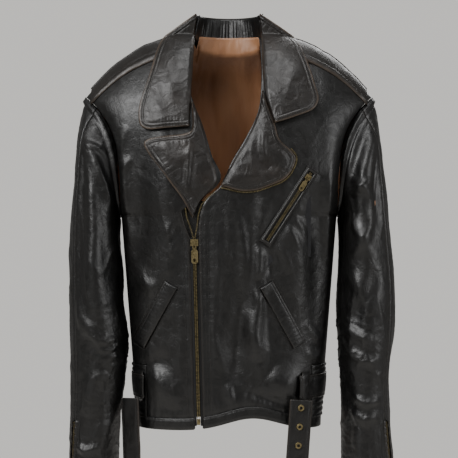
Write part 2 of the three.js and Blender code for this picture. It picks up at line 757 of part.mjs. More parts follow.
// The chest pocket: a frame of two welts round a zip, with the slider at its upper end.
function addChestPocket() {
  const BULGE_GAP = 2.4; // frame stands off the chord so that the leather's curve clears it
  const low = new THREE.Vector3(CHEST_LOW[0], frontY(...CHEST_LOW), CHEST_LOW[1]);
  const high = new THREE.Vector3(chestHigh[0], frontY(...chestHigh), chestHigh[1]);
  const wallHalf = chestSlotHalf + CHEST_FRAME_WALL;
  const across = new THREE.Vector3(chestRun[1], 0, -chestRun[0]);
  const reach = 8;
  const midX = CHEST_LOW[0] + (CHEST_LONG / 2) * chestRun[0];
  const midZ = CHEST_LOW[1] + (CHEST_LONG / 2) * chestRun[1];
  const [nearX, farX] = [-reach, reach].map((k) => midX + k * across.x);
  const [nearZ, farZ] = [-reach, reach].map((k) => midZ + k * across.z);
  across.set(farX - nearX, frontY(farX, farZ) - frontY(nearX, nearZ), farZ - nearZ);
  const along = high.clone().sub(low);
  const outward = new THREE.Vector3().crossVectors(along, across);
  if (outward.y > 0) outward.negate();
  const length = along.length();
  const group = zipGroup(high, along, outward);
  const frame = new THREE.Shape();
  const end = 5;
  frame.moveTo(-wallHalf, end);
  frame.lineTo(wallHalf, end);
  frame.lineTo(wallHalf, -length - end);
  frame.lineTo(-wallHalf, -length - end);
  const slot = new THREE.Path();
  slot.moveTo(-chestSlotHalf, -LAY_GAP);
  slot.lineTo(-chestSlotHalf, -length + LAY_GAP);
  slot.lineTo(chestSlotHalf, -length + LAY_GAP);
  slot.lineTo(chestSlotHalf, -LAY_GAP);
  frame.holes.push(slot);
  add("chest_pocket_welt", plate(frame, 2).translate(0, -BULGE_GAP, 0), blackLeather, group);
  const chain = closedZip(length - 4 * LAY_GAP, POCKET_GAUGE, chestSlotHalf - LAY_GAP);
  chain.translate(0, -BULGE_GAP, -2 * LAY_GAP);
  add("chest_zip_chain", chain, antiqueBrass, group);
  const seat = -SLIDER_LONG / 2 * POCKET_GAUGE - 6;
  const slide = add("chest_zip_slider", slider(POCKET_GAUGE), antiqueBrass, group);
  slide.position.set(0, -BULGE_GAP, seat);
  const tab = add("chest_zip_pull", pull(POCKET_GAUGE), antiqueBrass, group);
  tab.position.set(0, -BULGE_GAP - pullPivot * POCKET_GAUGE, seat);
  const bagTop = (v) =>
    new THREE.Vector3(lerp(CHEST_LOW[0], chestHigh[0], v), 0, lerp(CHEST_LOW[1], chestHigh[1], v) + 4);
  const bagLow = (v) => {
    const p = bagTop(v);
    return p.setZ(Math.min(p.z - 50, -370));
  };
  const layer = (d) =>
    grid(5, 5, (u, v) => {
      const p = bagTop(v).lerp(bagLow(v), u);
      return p.setY(frontY(p.x, p.z, LEATHER + 2 * LAY_GAP + d));
    });
  add("chest_pocket_bag", between(layer(0), layer(2)), pocketing);
}

// ---------------------------------------------------------------- epaulets
// A strap over each shoulder seam, from under the collar to the sleeve head.
function addEpaulet(name, side) {
  const START = 104; // its inner end, from the middle
  const FRONT_REACH = 36; // down the front from the seam
  const BACK_REACH = 16;
  const THICK = 2.6;
  const LIFT = 2 * LAY_GAP;
  const end = SHOULDER_HALF - 9;
  const layer = (up) =>
    grid(9, 6, (u, v) => {
      const x = side * lerp(START, end, v);
      const narrow = lerp(1, 0.8, v);
      const front = Math.max(0, 1 - u * 1.5) ** 2 * FRONT_REACH * narrow;
      const reach = front + Math.max(0, u * 3 - 2) ** 2 * BACK_REACH;
      const z = shoulderZ(x) + up - reach;
      const y = u < 0.6 ? frontY(x, z, -up) : backY(x, z, -up);
      return new THREE.Vector3(x, Math.abs(reach) < 1e-6 ? 0 : y, z);
    });
  add(`${name}_epaulet`, between(layer(LIFT + THICK), layer(LIFT)), blackLeather);
}

// ---------------------------------------------------------------- sleeves
// Each station gives the outer and inner edge of the sleeve seen from the front as
// [x, z], the half depth from front to back, and how far forward its middle lies.
const sleeves = {
  right: {
    side: -1,
    stations: [
      { outer: [255, -146], inner: [188, -319], half: 66, forward: 4 },
      { outer: [264, -225], inner: [188, -350], half: 73, forward: 8 },
      { outer: [270, -326], inner: [183, -385], half: 72, forward: 12 },
      { outer: [270, -427], inner: [175, -455], half: 68, forward: 18 },
      { outer: [269, -519], inner: [177, -519], half: 64, forward: 25 },
      { outer: [267, -600], inner: [187, -596], half: 57, forward: 30 },
      { outer: [268, -645], inner: [192.5, -642], half: 53.5, forward: 32.5 },
      { outer: [270, -695], inner: [192.5, -693.5], half: 50, forward: 35 },
      { outer: [272, -SLEEVE_END_DROP], inner: [192.5, -SLEEVE_END_DROP], half: 46.5, forward: 37.5 },
    ],
  },
  left: {
    side: 1,
    stations: [
      { outer: [256, -146], inner: [189, -315], half: 66, forward: 4 },
      { outer: [266, -235], inner: [189, -340], half: 73, forward: 8 },
      { outer: [275, -335], inner: [186, -385], half: 72, forward: 12 },
      { outer: [282, -430], inner: [185, -455], half: 68, forward: 18 },
      { outer: [279, -515], inner: [186, -520], half: 64, forward: 25 },
      { outer: [272, -592], inner: [190, -590], half: 57, forward: 30 },
      { outer: [272, -645], inner: [190.5, -642], half: 53.5, forward: 32.5 },
      { outer: [277, -695], inner: [189.5, -693.5], half: 50, forward: 35 },
      { outer: [282, -SLEEVE_END_DROP], inner: [188.5, -SLEEVE_END_DROP], half: 46.5, forward: 37.5 },
    ],
  },
};
const ARM_GAP = 1.9; // between the sleeve head and the armhole edge

// A point of a sleeve: s runs from the armhole (0) to the cuff (1); the angle runs from
// the outer edge (0) round the front (90) to the inner edge (180) and the back (270).
function sleevePoint({ side, stations }, s, angle, inset) {
  const c = Math.cos(degToRad(angle));
  const n = Math.sin(degToRad(angle));
  const middle = -lerp(SHOULDER_DROP, UNDERARM_DROP, 0.5);
  const z = middle + ((UNDERARM_DROP - SHOULDER_DROP) / 2 - inset) * c;
  const half = halfWidth(z);
  const depth = n > 0 ? frontY(half, z, inset) : backY(half, z, inset);
  const head = new THREE.Vector3(side * (half + ARM_GAP), Math.abs(n) < 1e-6 ? 0 : depth, z);
  const points = stations.map(({ outer, inner, half: deep, forward }) => {
    const reach = new THREE.Vector2(outer[0] - inner[0], outer[1] - inner[1]);
    const k = ((0.5 * reach.length() - inset) / reach.length()) * c;
    const x = (outer[0] + inner[0]) / 2 + reach.x * k;
    const up = (outer[1] + inner[1]) / 2 + reach.y * k;
    return new THREE.Vector3(side * x, -forward - (deep - inset) * n, up);
  });
  return new THREE.CatmullRomCurve3([head, ...points]).getPoint(s);
}

const SEAM_OUT = 38; // angle of the seam that ends in the cuff zip
const SEAM_IN = 205;
const CUFF_RADIUS = 43; // mean radius of the sleeve where the cuff zip opens

function addSleeve(name, arm) {
  const cuffHalf = chestSlotHalf;
  const spanAt = (s) => (SEAM_GAP / 2 / lerp(75, 45, s)) * (180 / Math.PI);
  const slitAt = (s) => (s > arm.slitTop + 1e-6 ? (cuffHalf / CUFF_RADIUS) * (180 / Math.PI) : spanAt(s));
  const STEPS = 7; // facets round each half
  const layerOf = (from, to, slitFirst, slitLast) => (d) =>
    arm.rows.map((s) => {
      const a = from + (slitFirst ? slitAt(s) : spanAt(s));
      const b = to - (slitLast ? slitAt(s) : spanAt(s));
      return Array.from({ length: STEPS + 1 }, (_, i) => sleevePoint(arm, s, lerp(a, b, i / STEPS), d));
    });
  const front = layerOf(SEAM_OUT, SEAM_IN, true, false);
  const back = layerOf(SEAM_IN, SEAM_OUT + 360, false, true);
  add(`${name}_sleeve_front`, between(front(0), front(LEATHER)), blackLeather);
  add(`${name}_sleeve_back`, between(back(0), back(LEATHER)), blackLeather);
  const cloth = (s) => lerp(5, LEATHER + 3 * LAY_GAP, smoothstep(s, 0.9, 0.98));
  const angles = Array.from({ length: 2 * STEPS }, (_, i) =>
    i < STEPS ? lerp(SEAM_OUT, SEAM_IN, i / STEPS) : lerp(SEAM_IN, SEAM_OUT + 360, i / STEPS - 1),
  );
  const lining = (d) =>
    arm.rows.map((row) => {
      const s = clamp(row, 0.02, 0.985);
      return angles.map((angle) => sleevePoint(arm, s, angle, cloth(s) + d));
    });
  add(`${name}_sleeve_lining`, between(lining(0), lining(LINING), true), satin);
}
for (const arm of Object.values(sleeves)) {
  const last = arm.stations.length;
  arm.slitTop = (last - 2) / last;
  const upper = Array.from({ length: 7 }, (_, j) => (arm.slitTop * j) / 6);
  arm.rows = [...upper, arm.slitTop + 0.0015, (1 + arm.slitTop) / 2, 1];
}

function addCuffZip(name, arm) {
  const inset = LEATHER / 2;
  const top = sleevePoint(arm, arm.slitTop, SEAM_OUT, inset);
  const low = sleevePoint(arm, 1, SEAM_OUT, inset);
  const middle = (arm.slitTop + 1) / 2;
  const outward = sleevePoint(arm, middle, SEAM_OUT, 0).sub(sleevePoint(arm, middle, SEAM_OUT, 10));
  const along = top.clone().sub(low);
  const length = along.length() - 5;
  const group = zipGroup(top.addScaledVector(along.clone().normalize(), -2), along, outward);
  const chain = closedZip(length, POCKET_GAUGE, chestSlotHalf - 1.1);
  add(`${name}_cuff_zip_chain`, chain, antiqueBrass, group);
  const seat = -length + 16 + (SLIDER_LONG / 2) * POCKET_GAUGE;
  const slide = add(`${name}_cuff_zip_slider`, slider(POCKET_GAUGE), antiqueBrass, group);
  slide.position.z = seat;
  const tab = add(`${name}_cuff_zip_pull`, pull(POCKET_GAUGE), antiqueBrass, group);
  tab.position.set(0, -pullPivot * POCKET_GAUGE, seat);
}

// ---------------------------------------------------------------- belt
// The belt is sewn round the back and comes loose from the jacket in front of its loops.
const BELT_END = { right: 143, left: 118 }; // its front ends, from the middle
const beltStand = (x, end) => 2 * LAY_GAP + 8 * smoothstep(end + 26 - Math.abs(x), 0, 26);

function addBackBelt() {
  const layer = (up) => {
    const rowAt = (z) => {
      const wide = halfWidth(z) + 2 * LAY_GAP + up;
      const frontPart = (side, end) =>
        Array.from({ length: 8 }, (_, i) => {
          const x = side * lerp(end, wide, 1 - (1 - i / 7) ** 2.2);
          const y = frontY(x, z, -beltStand(x, end) - up);
          return new THREE.Vector3(x, i === 7 ? 0 : y, z);
        });
      const behind = Array.from({ length: 19 }, (_, i) => {
        const turn = (i + 1) / 10 - 1;
        const x = Math.sign(turn) * wide * (1 - (1 - Math.abs(turn)) ** 2.2);
        return new THREE.Vector3(x, backY(x, z, -2 * LAY_GAP - up), z);
      });
      return [...frontPart(-1, BELT_END.right), ...behind, ...frontPart(1, BELT_END.left).reverse()];
    };
    return [-BELT_DROP, -BELT_DROP - BELT_HEIGHT].map(rowAt);
  };
  add("back_belt", between(layer(BELT_THICK), layer(0)), blackLeather);
}

// A loop stitched above and below the belt, at each side of the front.
function addBeltLoop(name, side, x) {
  const WIDE = 13;
  const WALL = 1.6;
  const z0 = -BELT_DROP + 5;
  const z1 = -BELT_DROP - BELT_HEIGHT - 5;
  const end = BELT_END[name];
  const over = (place, z) => frontY(place, z, -beltStand(place, end) - BELT_THICK - 2 * LAY_GAP);
  const rowsAt = (up) =>
    [
      [z0 + WALL, 0], [z0, 1], [lerp(z0, z1, 0.5), 1], [z1, 1], [z1 - WALL, 0],
    ].map(([z, out]) =>
      [0, 0.5, 1].map((u) => {
        const place = side * (x - WIDE / 2 + WIDE * u);
        const near = frontY(place, z, -2 * LAY_GAP);
        const y = lerp(near, over(place, z), out) - up * (out ? 1 : 0.6);
        return new THREE.Vector3(place, y, z + (out ? 0 : Math.sign(z - (z0 + z1) / 2) * up * 0.6));
      }),
    );
  add(`${name}_belt_loop`, between(rowsAt(WALL), rowsAt(0)), blackLeather);
}

// The loose right end: a strap turned back round the bar of the buckle.
const STRAP_LONG = 165;
const BUCKLE_BAR = 1.9; // radius of the buckle's bar
const BUCKLE_HALF = 25;
const BUCKLE_TALL = 42;
const foldRadius = BUCKLE_BAR + 0.9;
function addBuckleEnd(group) {
  const profile = new THREE.Shape();
  const t = BELT_THICK;
  const drop = STRAP_LONG - foldRadius;
  profile.moveTo(0, 0);
  profile.lineTo(0, -drop);
  profile.absarc(foldRadius, -drop, foldRadius, Math.PI, 2 * Math.PI, false);
  profile.lineTo(2 * foldRadius, -drop + 26);
  profile.lineTo(2 * foldRadius + t, -drop + 26);
  profile.lineTo(2 * foldRadius + t, -drop);
  profile.absarc(foldRadius, -drop, foldRadius + t, 0, -Math.PI, true);
  profile.lineTo(-t, 0);
  const strap = new THREE.ExtrudeGeometry(profile, {
    depth: BELT_HEIGHT,
    bevelEnabled: false,
    curveSegments: 8,
  });
  strap.translate(0, 0, -BELT_HEIGHT / 2);
  strap.applyMatrix4(
    new THREE.Matrix4().makeBasis(
      new THREE.Vector3(0, 1, 0),
      new THREE.Vector3(0, 0, 1),
      new THREE.Vector3(1, 0, 0),
    ),
  );
  const notch = block([-3.4, 3.4], [-8, 12], [-STRAP_LONG - 8, -STRAP_LONG + 10]);
  add("right_belt_end", without(strap, notch), blackLeather, group);
  const bar = new THREE.Vector3(0, foldRadius, -drop);
  const frame = new THREE.Shape();
  frame.moveTo(-BUCKLE_HALF, BUCKLE_BAR);
  frame.lineTo(BUCKLE_HALF, BUCKLE_BAR);
  frame.lineTo(BUCKLE_HALF, -BUCKLE_TALL);
  frame.lineTo(-BUCKLE_HALF, -BUCKLE_TALL);
  const hole = new THREE.Path();
  const rim = 4;
  hole.moveTo(-BUCKLE_HALF + rim, -BUCKLE_BAR);
  hole.lineTo(-BUCKLE_HALF + rim, -BUCKLE_TALL + rim);
  hole.lineTo(BUCKLE_HALF - rim, -BUCKLE_TALL + rim);
  hole.lineTo(BUCKLE_HALF - rim, -BUCKLE_BAR);
  frame.holes.push(hole);
  const thick = 3;
  const buckle = add("buckle_frame", plate(frame, thick).translate(0, thick / 2, 0), antiqueBrass, group);
  buckle.position.copy(bar);
  const eyeIn = Math.hypot(BUCKLE_BAR, thick / 2) + 0.3;
  const eyeOut = eyeIn + 1.4;
  const ring = new THREE.Shape();
  ring.absarc(0, 0, eyeOut, 0, 2 * Math.PI, false);
  const bore = new THREE.Path();
  bore.absarc(0, 0, eyeIn, 0, 2 * Math.PI, true);
  ring.holes.push(bore);
  const eye = new THREE.ExtrudeGeometry(ring, { depth: 4, bevelEnabled: false, curveSegments: 8 });
  eye.translate(0, 0, -2).rotateY(Math.PI / 2);
  const pin = block([-1.5, 1.5], [-eyeOut, -eyeOut + 2.2], [-BUCKLE_TALL + 1, -0.5]);
  add("buckle_prong", joined(eye, pin), antiqueBrass, group).position.copy(bar);
}

// The loose left end: a pointed strap with eyelets.
const EYELET_PITCH = 31;
const EYELET_COUNT = 4;
const EYELET_BORE = 2.6;
const EYELET_HOLE = 4; // hole in the strap, under the flange
function addEyeletEnd(group) {
  const LONG = 175;
  const FIRST = 12;
  const TIP = 20;
  const outline = new THREE.Shape();
  const half = BELT_HEIGHT / 2;
  outline.moveTo(-half, 0);
  outline.lineTo(half, 0);
  outline.lineTo(half, -LONG + TIP);
  outline.lineTo(half * 0.7, -LONG + 7);
  outline.lineTo(half * 0.2, -LONG);
  outline.lineTo(-half * 0.2, -LONG);
  outline.lineTo(-half * 0.7, -LONG + 7);
  outline.lineTo(-half, -LONG + TIP);
  const places = Array.from({ length: EYELET_COUNT }, (_, k) => -FIRST - k * EYELET_PITCH);
  const holes = places.map((z) => drill(0, z, EYELET_HOLE, 14));
  add("left_belt_end", without(plate(outline, BELT_THICK), ...holes), blackLeather, group);
  const barrel = EYELET_HOLE - LAY_GAP;
  const flange = EYELET_HOLE + 1.6;
  const profile = [
    [EYELET_BORE, -0.6], [barrel, -0.6], [barrel, BELT_THICK + LAY_GAP],
    [flange, BELT_THICK + LAY_GAP], [flange - 0.6, BELT_THICK + LAY_GAP + 0.8],
    [EYELET_BORE, BELT_THICK + LAY_GAP + 0.8], [EYELET_BORE, -0.6],
  ].map(([r, h]) => new THREE.Vector2(r, h));
  places.forEach((z, k) => {
    const eyelet = new THREE.LatheGeometry(profile, 14).rotateX(Math.PI);
    add(`eyelet_${k + 1}`, eyelet, antiqueBrass, group).position.z = z;
  });
}

function addBeltEnds() {
  const ends = {
    right: { x: -165, y: -76, turn: -38, lean: -2.5, build: addBuckleEnd },
    left: { x: 119, y: -108.1, turn: 10, lean: 4, build: addEyeletEnd },
  };
  for (const { x, y, turn, lean, build } of Object.values(ends)) {
    const group = new THREE.Group();
    group.position.set(x, y, -BELT_DROP - BELT_HEIGHT - 4 * SEAM_GAP);
    group.rotation.set(0, degToRad(lean), degToRad(turn), "ZYX");
    jacket.add(group);
    build(group);
  }
}

// ---------------------------------------------------------------- assembly
addFronts();
addBack();
addKidneyPanel("right", -1);
addKidneyPanel("left", 1);
addHemBands();
addLinings();
addUnderlap();
addCollarStand();
addCollarBack();
addCollarLeaf(
  "right",
  [[-55, 44], [-59, 5], [-62, -67], [-63, -105], [-66, -153]],
  [[-59, 44], [-98, 16], [-113, 3], [-134, -67], [-150, -126], [-145, -157]],
);
addCollarLeaf(
  "left",
  [[52, 44], [55, 5], [57, -67], [62, -108], [77, -148]],
  [[56, 44], [100, 14], [113, 3], [130, -35], [148, -107], [140, -124]],
);
addLapel("right", rightLapelRoll, rightLapelEdge);
addLapel("left", leftLapelRoll, leftLapelEdge);
addMainZip();
addLapelTeeth();
addMainSlider();
for (const [name, pocket] of Object.entries(handPockets)) addHandPocket(name, pocket);
addChestPocket();
addEpaulet("right", -1);
addEpaulet("left", 1);
for (const [name, arm] of Object.entries(sleeves)) {
  addSleeve(name, arm);
  addCuffZip(name, arm);
}
addBackBelt();
addBeltLoop("right", -1, 151);
addBeltLoop("left", 1, 128);
addBeltEnds();

export default jacket;
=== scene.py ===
import math

import bmesh
import bpy
import numpy as np
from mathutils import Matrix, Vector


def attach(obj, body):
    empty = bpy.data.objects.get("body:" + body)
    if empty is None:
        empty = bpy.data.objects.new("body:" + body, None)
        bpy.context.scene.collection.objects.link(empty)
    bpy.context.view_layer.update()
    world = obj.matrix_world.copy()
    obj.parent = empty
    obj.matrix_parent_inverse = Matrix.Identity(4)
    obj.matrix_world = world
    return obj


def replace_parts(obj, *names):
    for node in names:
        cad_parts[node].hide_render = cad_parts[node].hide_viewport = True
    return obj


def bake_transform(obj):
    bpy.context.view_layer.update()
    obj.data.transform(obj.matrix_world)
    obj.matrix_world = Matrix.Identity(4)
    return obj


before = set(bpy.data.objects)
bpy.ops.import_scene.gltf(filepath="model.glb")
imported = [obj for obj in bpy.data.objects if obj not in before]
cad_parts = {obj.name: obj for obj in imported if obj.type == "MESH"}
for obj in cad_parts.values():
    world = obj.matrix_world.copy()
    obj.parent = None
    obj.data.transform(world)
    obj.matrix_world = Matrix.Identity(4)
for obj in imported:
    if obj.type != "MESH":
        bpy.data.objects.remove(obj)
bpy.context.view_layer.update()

# ---------------------------------------------------------------- fronts
# The two fronts are cut from cowhide about 1.3 mm thick and backed with felt. They hang
# from the shoulder seams and crumple where the arms and the belt have pressed them.
# Sizes are in millimetres here and become metres when a mesh is made.
SHOULDER_HALF = 245.0
SHOULDER_DROP = 98.0
NECK_HALF = 60.0
NECK_RISE = 5.0
CHEST_HALF = 184.0
HEM_HALF = 156.0
UNDERARM_DROP = 300.0
BODY_LENGTH = 657.0
HEM_BAND = 20.0
ZIP_TOP_DROP = 338.0
ZIP_TOP_X = -57.5
ZIP_EDGE = 8.0
LEATHER = 1.6
KIDNEY_DROP = 551.0
KIDNEY_FRONT = 138.0


def lerp(a, b, f):
    return a + (b - a) * f


def ease(x, low, high):
    f = np.clip((x - low) / (high - low), 0, 1)
    return f * f * (3 - 2 * f)


def half_width(z):
    drop = -np.asarray(z, float)
    down = np.clip((drop - SHOULDER_DROP) / (UNDERARM_DROP - SHOULDER_DROP), 0, 1)
    upper = CHEST_HALF + (SHOULDER_HALF - CHEST_HALF) * (1 - down) ** 4
    lower = lerp(CHEST_HALF, HEM_HALF, np.clip((drop - UNDERARM_DROP) / (BODY_LENGTH - UNDERARM_DROP), 0, 1))
    return np.where(drop < UNDERARM_DROP, upper, lower)


def shoulder_z(x):
    out = np.clip((np.abs(x) - NECK_HALF) / (SHOULDER_HALF - NECK_HALF), 0, 1)
    return NECK_RISE - (SHOULDER_DROP + NECK_RISE) * out ** 2.2


def bulge(x, z, inset, depth, roll):
    across = np.clip(np.abs(x) / (half_width(z) - inset), 0, 1)
    down = np.clip((-z - 199) / 101, 0, 1)
    edge = np.maximum(55 * np.sqrt(1 - down**2) - inset, 0)
    dome = (1 - across**3) ** (1 / 3)
    below = np.clip((shoulder_z(x) - inset - z) / roll, 0, 1)
    rise = (1 - (1 - below) ** 2.2) ** 0.62
    return (edge + (depth - inset - edge) * dome) * rise


def front_y(x, z, inset=0.0):
    return -bulge(x, z, inset, 108, 280) - 0.25


def back_y(x, z, inset=0.0):
    return bulge(x, z, inset, 92, 95) + 0.25


def through(pairs):
    """A smooth function through (position, value) pairs."""
    at = np.array([p[0] for p in pairs], float)
    value = np.array([p[1] for p in pairs], float)
    slope = np.gradient(value, at)

    def smooth(x):
        k = np.clip(np.searchsorted(at, x) - 1, 0, len(at) - 2)
        wide = at[k + 1] - at[k]
        f = np.clip((x - at[k]) / wide, 0, 1)
        bend = wide * f * (1 - f)
        return (
            lerp(value[k], value[k + 1], f * f * (3 - 2 * f))
            + bend * ((1 - f) * slope[k] - f * slope[k + 1])
        )

    return smooth


def spline(stations, t):
    """Points at t (0 to 1) along smooth curves through stations of shape (n, m, d)."""
    n = len(stations)
    ends = [2 * stations[0] - stations[1]], [2 * stations[-1] - stations[-2]]
    p = np.concatenate([ends[0], stations, ends[1]])
    k = np.minimum((np.asarray(t) * (n - 1)).astype(int), n - 2)
    w = (np.asarray(t) * (n - 1) - k)[:, None, None]
    p0, p1, p2, p3 = p[k], p[k + 1], p[k + 2], p[k + 3]
    gap = lambda a, b: np.maximum(np.sum((b - a) ** 2, -1, keepdims=True) ** 0.25, 1e-3)
    d0, d1, d2 = gap(p0, p1), gap(p1, p2), gap(p2, p3)
    t1 = ((p1 - p0) / d0 - (p2 - p0) / (d0 + d1) + (p2 - p1) / d1) * d1
    t2 = ((p2 - p1) / d1 - (p3 - p1) / (d1 + d2) + (p3 - p2) / d2) * d1
    return p1 + t1 * w + (-3 * p1 + 3 * p2 - 2 * t1 - t2) * w**2 + (2 * p1 - 2 * p2 + t1 + t2) * w**3


def line(points):
    """A smooth line through points, as a function of the share of its length."""
    dense = spline(np.array(points, float)[:, None], np.linspace(0, 1, 60 * len(points)))[:, 0]
    run = np.concatenate([[0], np.cumsum(np.linalg.norm(np.diff(dense, axis=0), axis=1))])

    def at(f):
        place = np.clip(f, 0, 1) * run[-1]
        return np.stack([np.interp(place, run, dense[:, k]) for k in range(dense.shape[1])], -1)

    at.length = run[-1]
    return at


def off_line(x, z, points):
    """Signed distance from a chain of points, and the share of its length passed."""
    p = np.array(points, float)
    run = np.concatenate([[0], np.cumsum(np.linalg.norm(np.diff(p, axis=0), axis=1))])
    best = np.full(np.shape(x), 1e9)
    side = np.zeros(np.shape(x))
    share = np.zeros(np.shape(x))
    for k in range(len(p) - 1):
        d = p[k + 1] - p[k]
        f = np.clip(((x - p[k, 0]) * d[0] + (z - p[k, 1]) * d[1]) / (d @ d), 0, 1)
        gx, gz = x - p[k, 0] - f * d[0], z - p[k, 1] - f * d[1]
        far = np.hypot(gx, gz)
        near = far < best
        best = np.where(near, far, best)
        side = np.where(near, np.sign(gx * d[1] - gz * d[0]) * far, side)
        share = np.where(near, (run[k] + f * (run[k + 1] - run[k])) / run[-1], share)
    return side, share


def folds(x, z, creases):
    """Height of listed folds: each is a chain of points, a width, a height and a lean."""
    total = np.zeros(np.shape(x))
    for points, width, height, lean in creases:
        d, share = off_line(x, z, points)
        run = np.clip(np.sin(np.pi * np.clip(share, 0.02, 0.98)), 0, 1) ** 0.7
        total += height * run * np.exp(-((d / width) ** 2)) * (1 + lean * d / width)
    return total


def waves(p, size, seed, octaves=3, stretch=(1, 1, 1)):
    """Uneven soft height, about -1 to 1, with features of a size in mm."""
    chance = np.random.default_rng(seed)
    q = p * np.array(stretch, float)
    total, most, strength = 0.0, 0.0, 1.0
    for _ in range(octaves):
        for _ in range(5):
            way = chance.normal(size=3)
            way /= np.linalg.norm(way)
            bend = 0.9 * np.sin(q @ chance.normal(size=3) * (1.7 / size) + chance.uniform(0, 6.28))
            total = total + strength * np.sin(
                q @ way * (6.28 / size) * chance.uniform(0.7, 1.3) + chance.uniform(0, 6.28) + bend
            )
            most += strength * 0.5
        size, strength = size / 2.0, strength * 0.5
    return total / most


def crumple(p, size, seed, stretch=(1, 1, 1)):
    """Thin sharp wrinkles between flatter areas, 0 to about 1."""
    return np.clip(1 - np.abs(waves(p, size, seed, 2, stretch)) * 2.2, 0, 1) ** 2


def linear(code):
    """Linear colour from an sRGB hex string."""
    shares = [int(code[k : k + 2], 16) / 255 for k in (1, 3, 5)]
    return (*[s / 12.92 if s <= 0.04045 else ((s + 0.055) / 1.055) ** 2.4 for s in shares], 1.0)


def put(tree, kind, settings=(), **links):
    """Adds a node, its settings and what feeds its inputs (a value or another socket)."""
    made = tree.nodes.new(kind)
    for key, value in dict(settings).items():
        setattr(made, key, value)
    for key, value in links.items():
        socket = made.inputs[int(key[1:]) if key[0] == "i" and key[1:].isdigit() else key.replace("_", " ")]
        if isinstance(value, bpy.types.NodeSocket):
            tree.links.new(value, socket)
        else:
            socket.default_value = value
    return made


def blank(name):
    look = bpy.data.materials.new(name)
    look.use_nodes = True
    look.node_tree.nodes.clear()
    return look, look.node_tree


def leather(name, dark, pale, worn_and_lit, rough, grain=1.0):
    """Finished cowhide: pigment over a pebbled grain, rubbed paler on its edges.
    To the eye it is a soft broken gloss, browner and duller where hands rub it.
    The same paler colour also paints a highlight along the left sleeve's outer seam."""
    look, tree = blank(name)
    place = put(tree, "ShaderNodeTexCoord").outputs["Object"]
    # pebbles are 1.1 mm across on the hide and are drawn at 2.2 mm so that they show
    pebble = put(
        tree, "ShaderNodeTexVoronoi", {"feature": "SMOOTH_F1"}, Vector=place, Scale=450.0, Smoothness=0.6,
    )
    slack = put(
        tree, "ShaderNodeTexNoise", Vector=place, Scale=70.0, Detail=5.0, Roughness=0.6, Distortion=0.9,
    )
    patch = put(tree, "ShaderNodeTexNoise", Vector=place, Scale=11.0, Detail=4.0, Roughness=0.6)
    rub = put(tree, "ShaderNodeTexNoise", Vector=place, Scale=140.0, Detail=3.0)
    wear_and_painted_sheen = put(tree, "ShaderNodeAttribute", {"attribute_name": "wear_and_painted_sheen"}).outputs["Fac"]
    uneven = put(tree, "ShaderNodeMapRange", Value=patch.outputs["Fac"], i1=0.35, i2=0.68).outputs[0]
    tone = put(tree, "ShaderNodeMix", {"data_type": "RGBA"}, i0=uneven, i6=linear(dark), i7=linear(pale))
    share = put(
        tree, "ShaderNodeMath", {"operation": "MULTIPLY_ADD"}, i0=rub.outputs["Fac"], i1=0.9, i2=-0.42,
    ).outputs[0]
    edge = put(tree, "ShaderNodeMath", {"operation": "ADD", "use_clamp": True}, i0=share, i1=wear_and_painted_sheen).outputs[0]
    only = put(
        tree, "ShaderNodeMath", {"operation": "MULTIPLY", "use_clamp": True}, i0=edge, i1=wear_and_painted_sheen,
    ).outputs[0]
    colour = put(tree, "ShaderNodeMix", {"data_type": "RGBA"}, i0=only, i6=tone.outputs[2], i7=linear(worn_and_lit))
    gloss = put(
        tree, "ShaderNodeMapRange", Value=slack.outputs["Fac"], i1=0.3, i2=0.7, i3=rough - 0.07,
        i4=rough + 0.1,
    )
    fine = put(
        tree, "ShaderNodeBump", Strength=0.22 * grain, Distance=0.0006, Height=pebble.outputs["Distance"],
    )
    loose = put(
        tree, "ShaderNodeBump", Strength=0.5 * grain, Distance=0.0022, Height=slack.outputs["Fac"],
        Normal=fine.outputs[0],
    )
    bsdf = put(
        tree, "ShaderNodeBsdfPrincipled", Base_Color=colour.outputs[2], Roughness=gloss.outputs[0],
        Normal=loose.outputs[0],
    )
    bsdf.inputs["IOR"].default_value = 1.5
    bsdf.inputs["Coat Weight"].default_value = 0.12
    bsdf.inputs["Coat Roughness"].default_value = 0.32
    put(tree, "ShaderNodeOutputMaterial", Surface=bsdf.outputs[0])
    return look


black_leather = leather("semi_aniline_cowhide", "#0a0a0a", "#141312", "#332c26", 0.4)


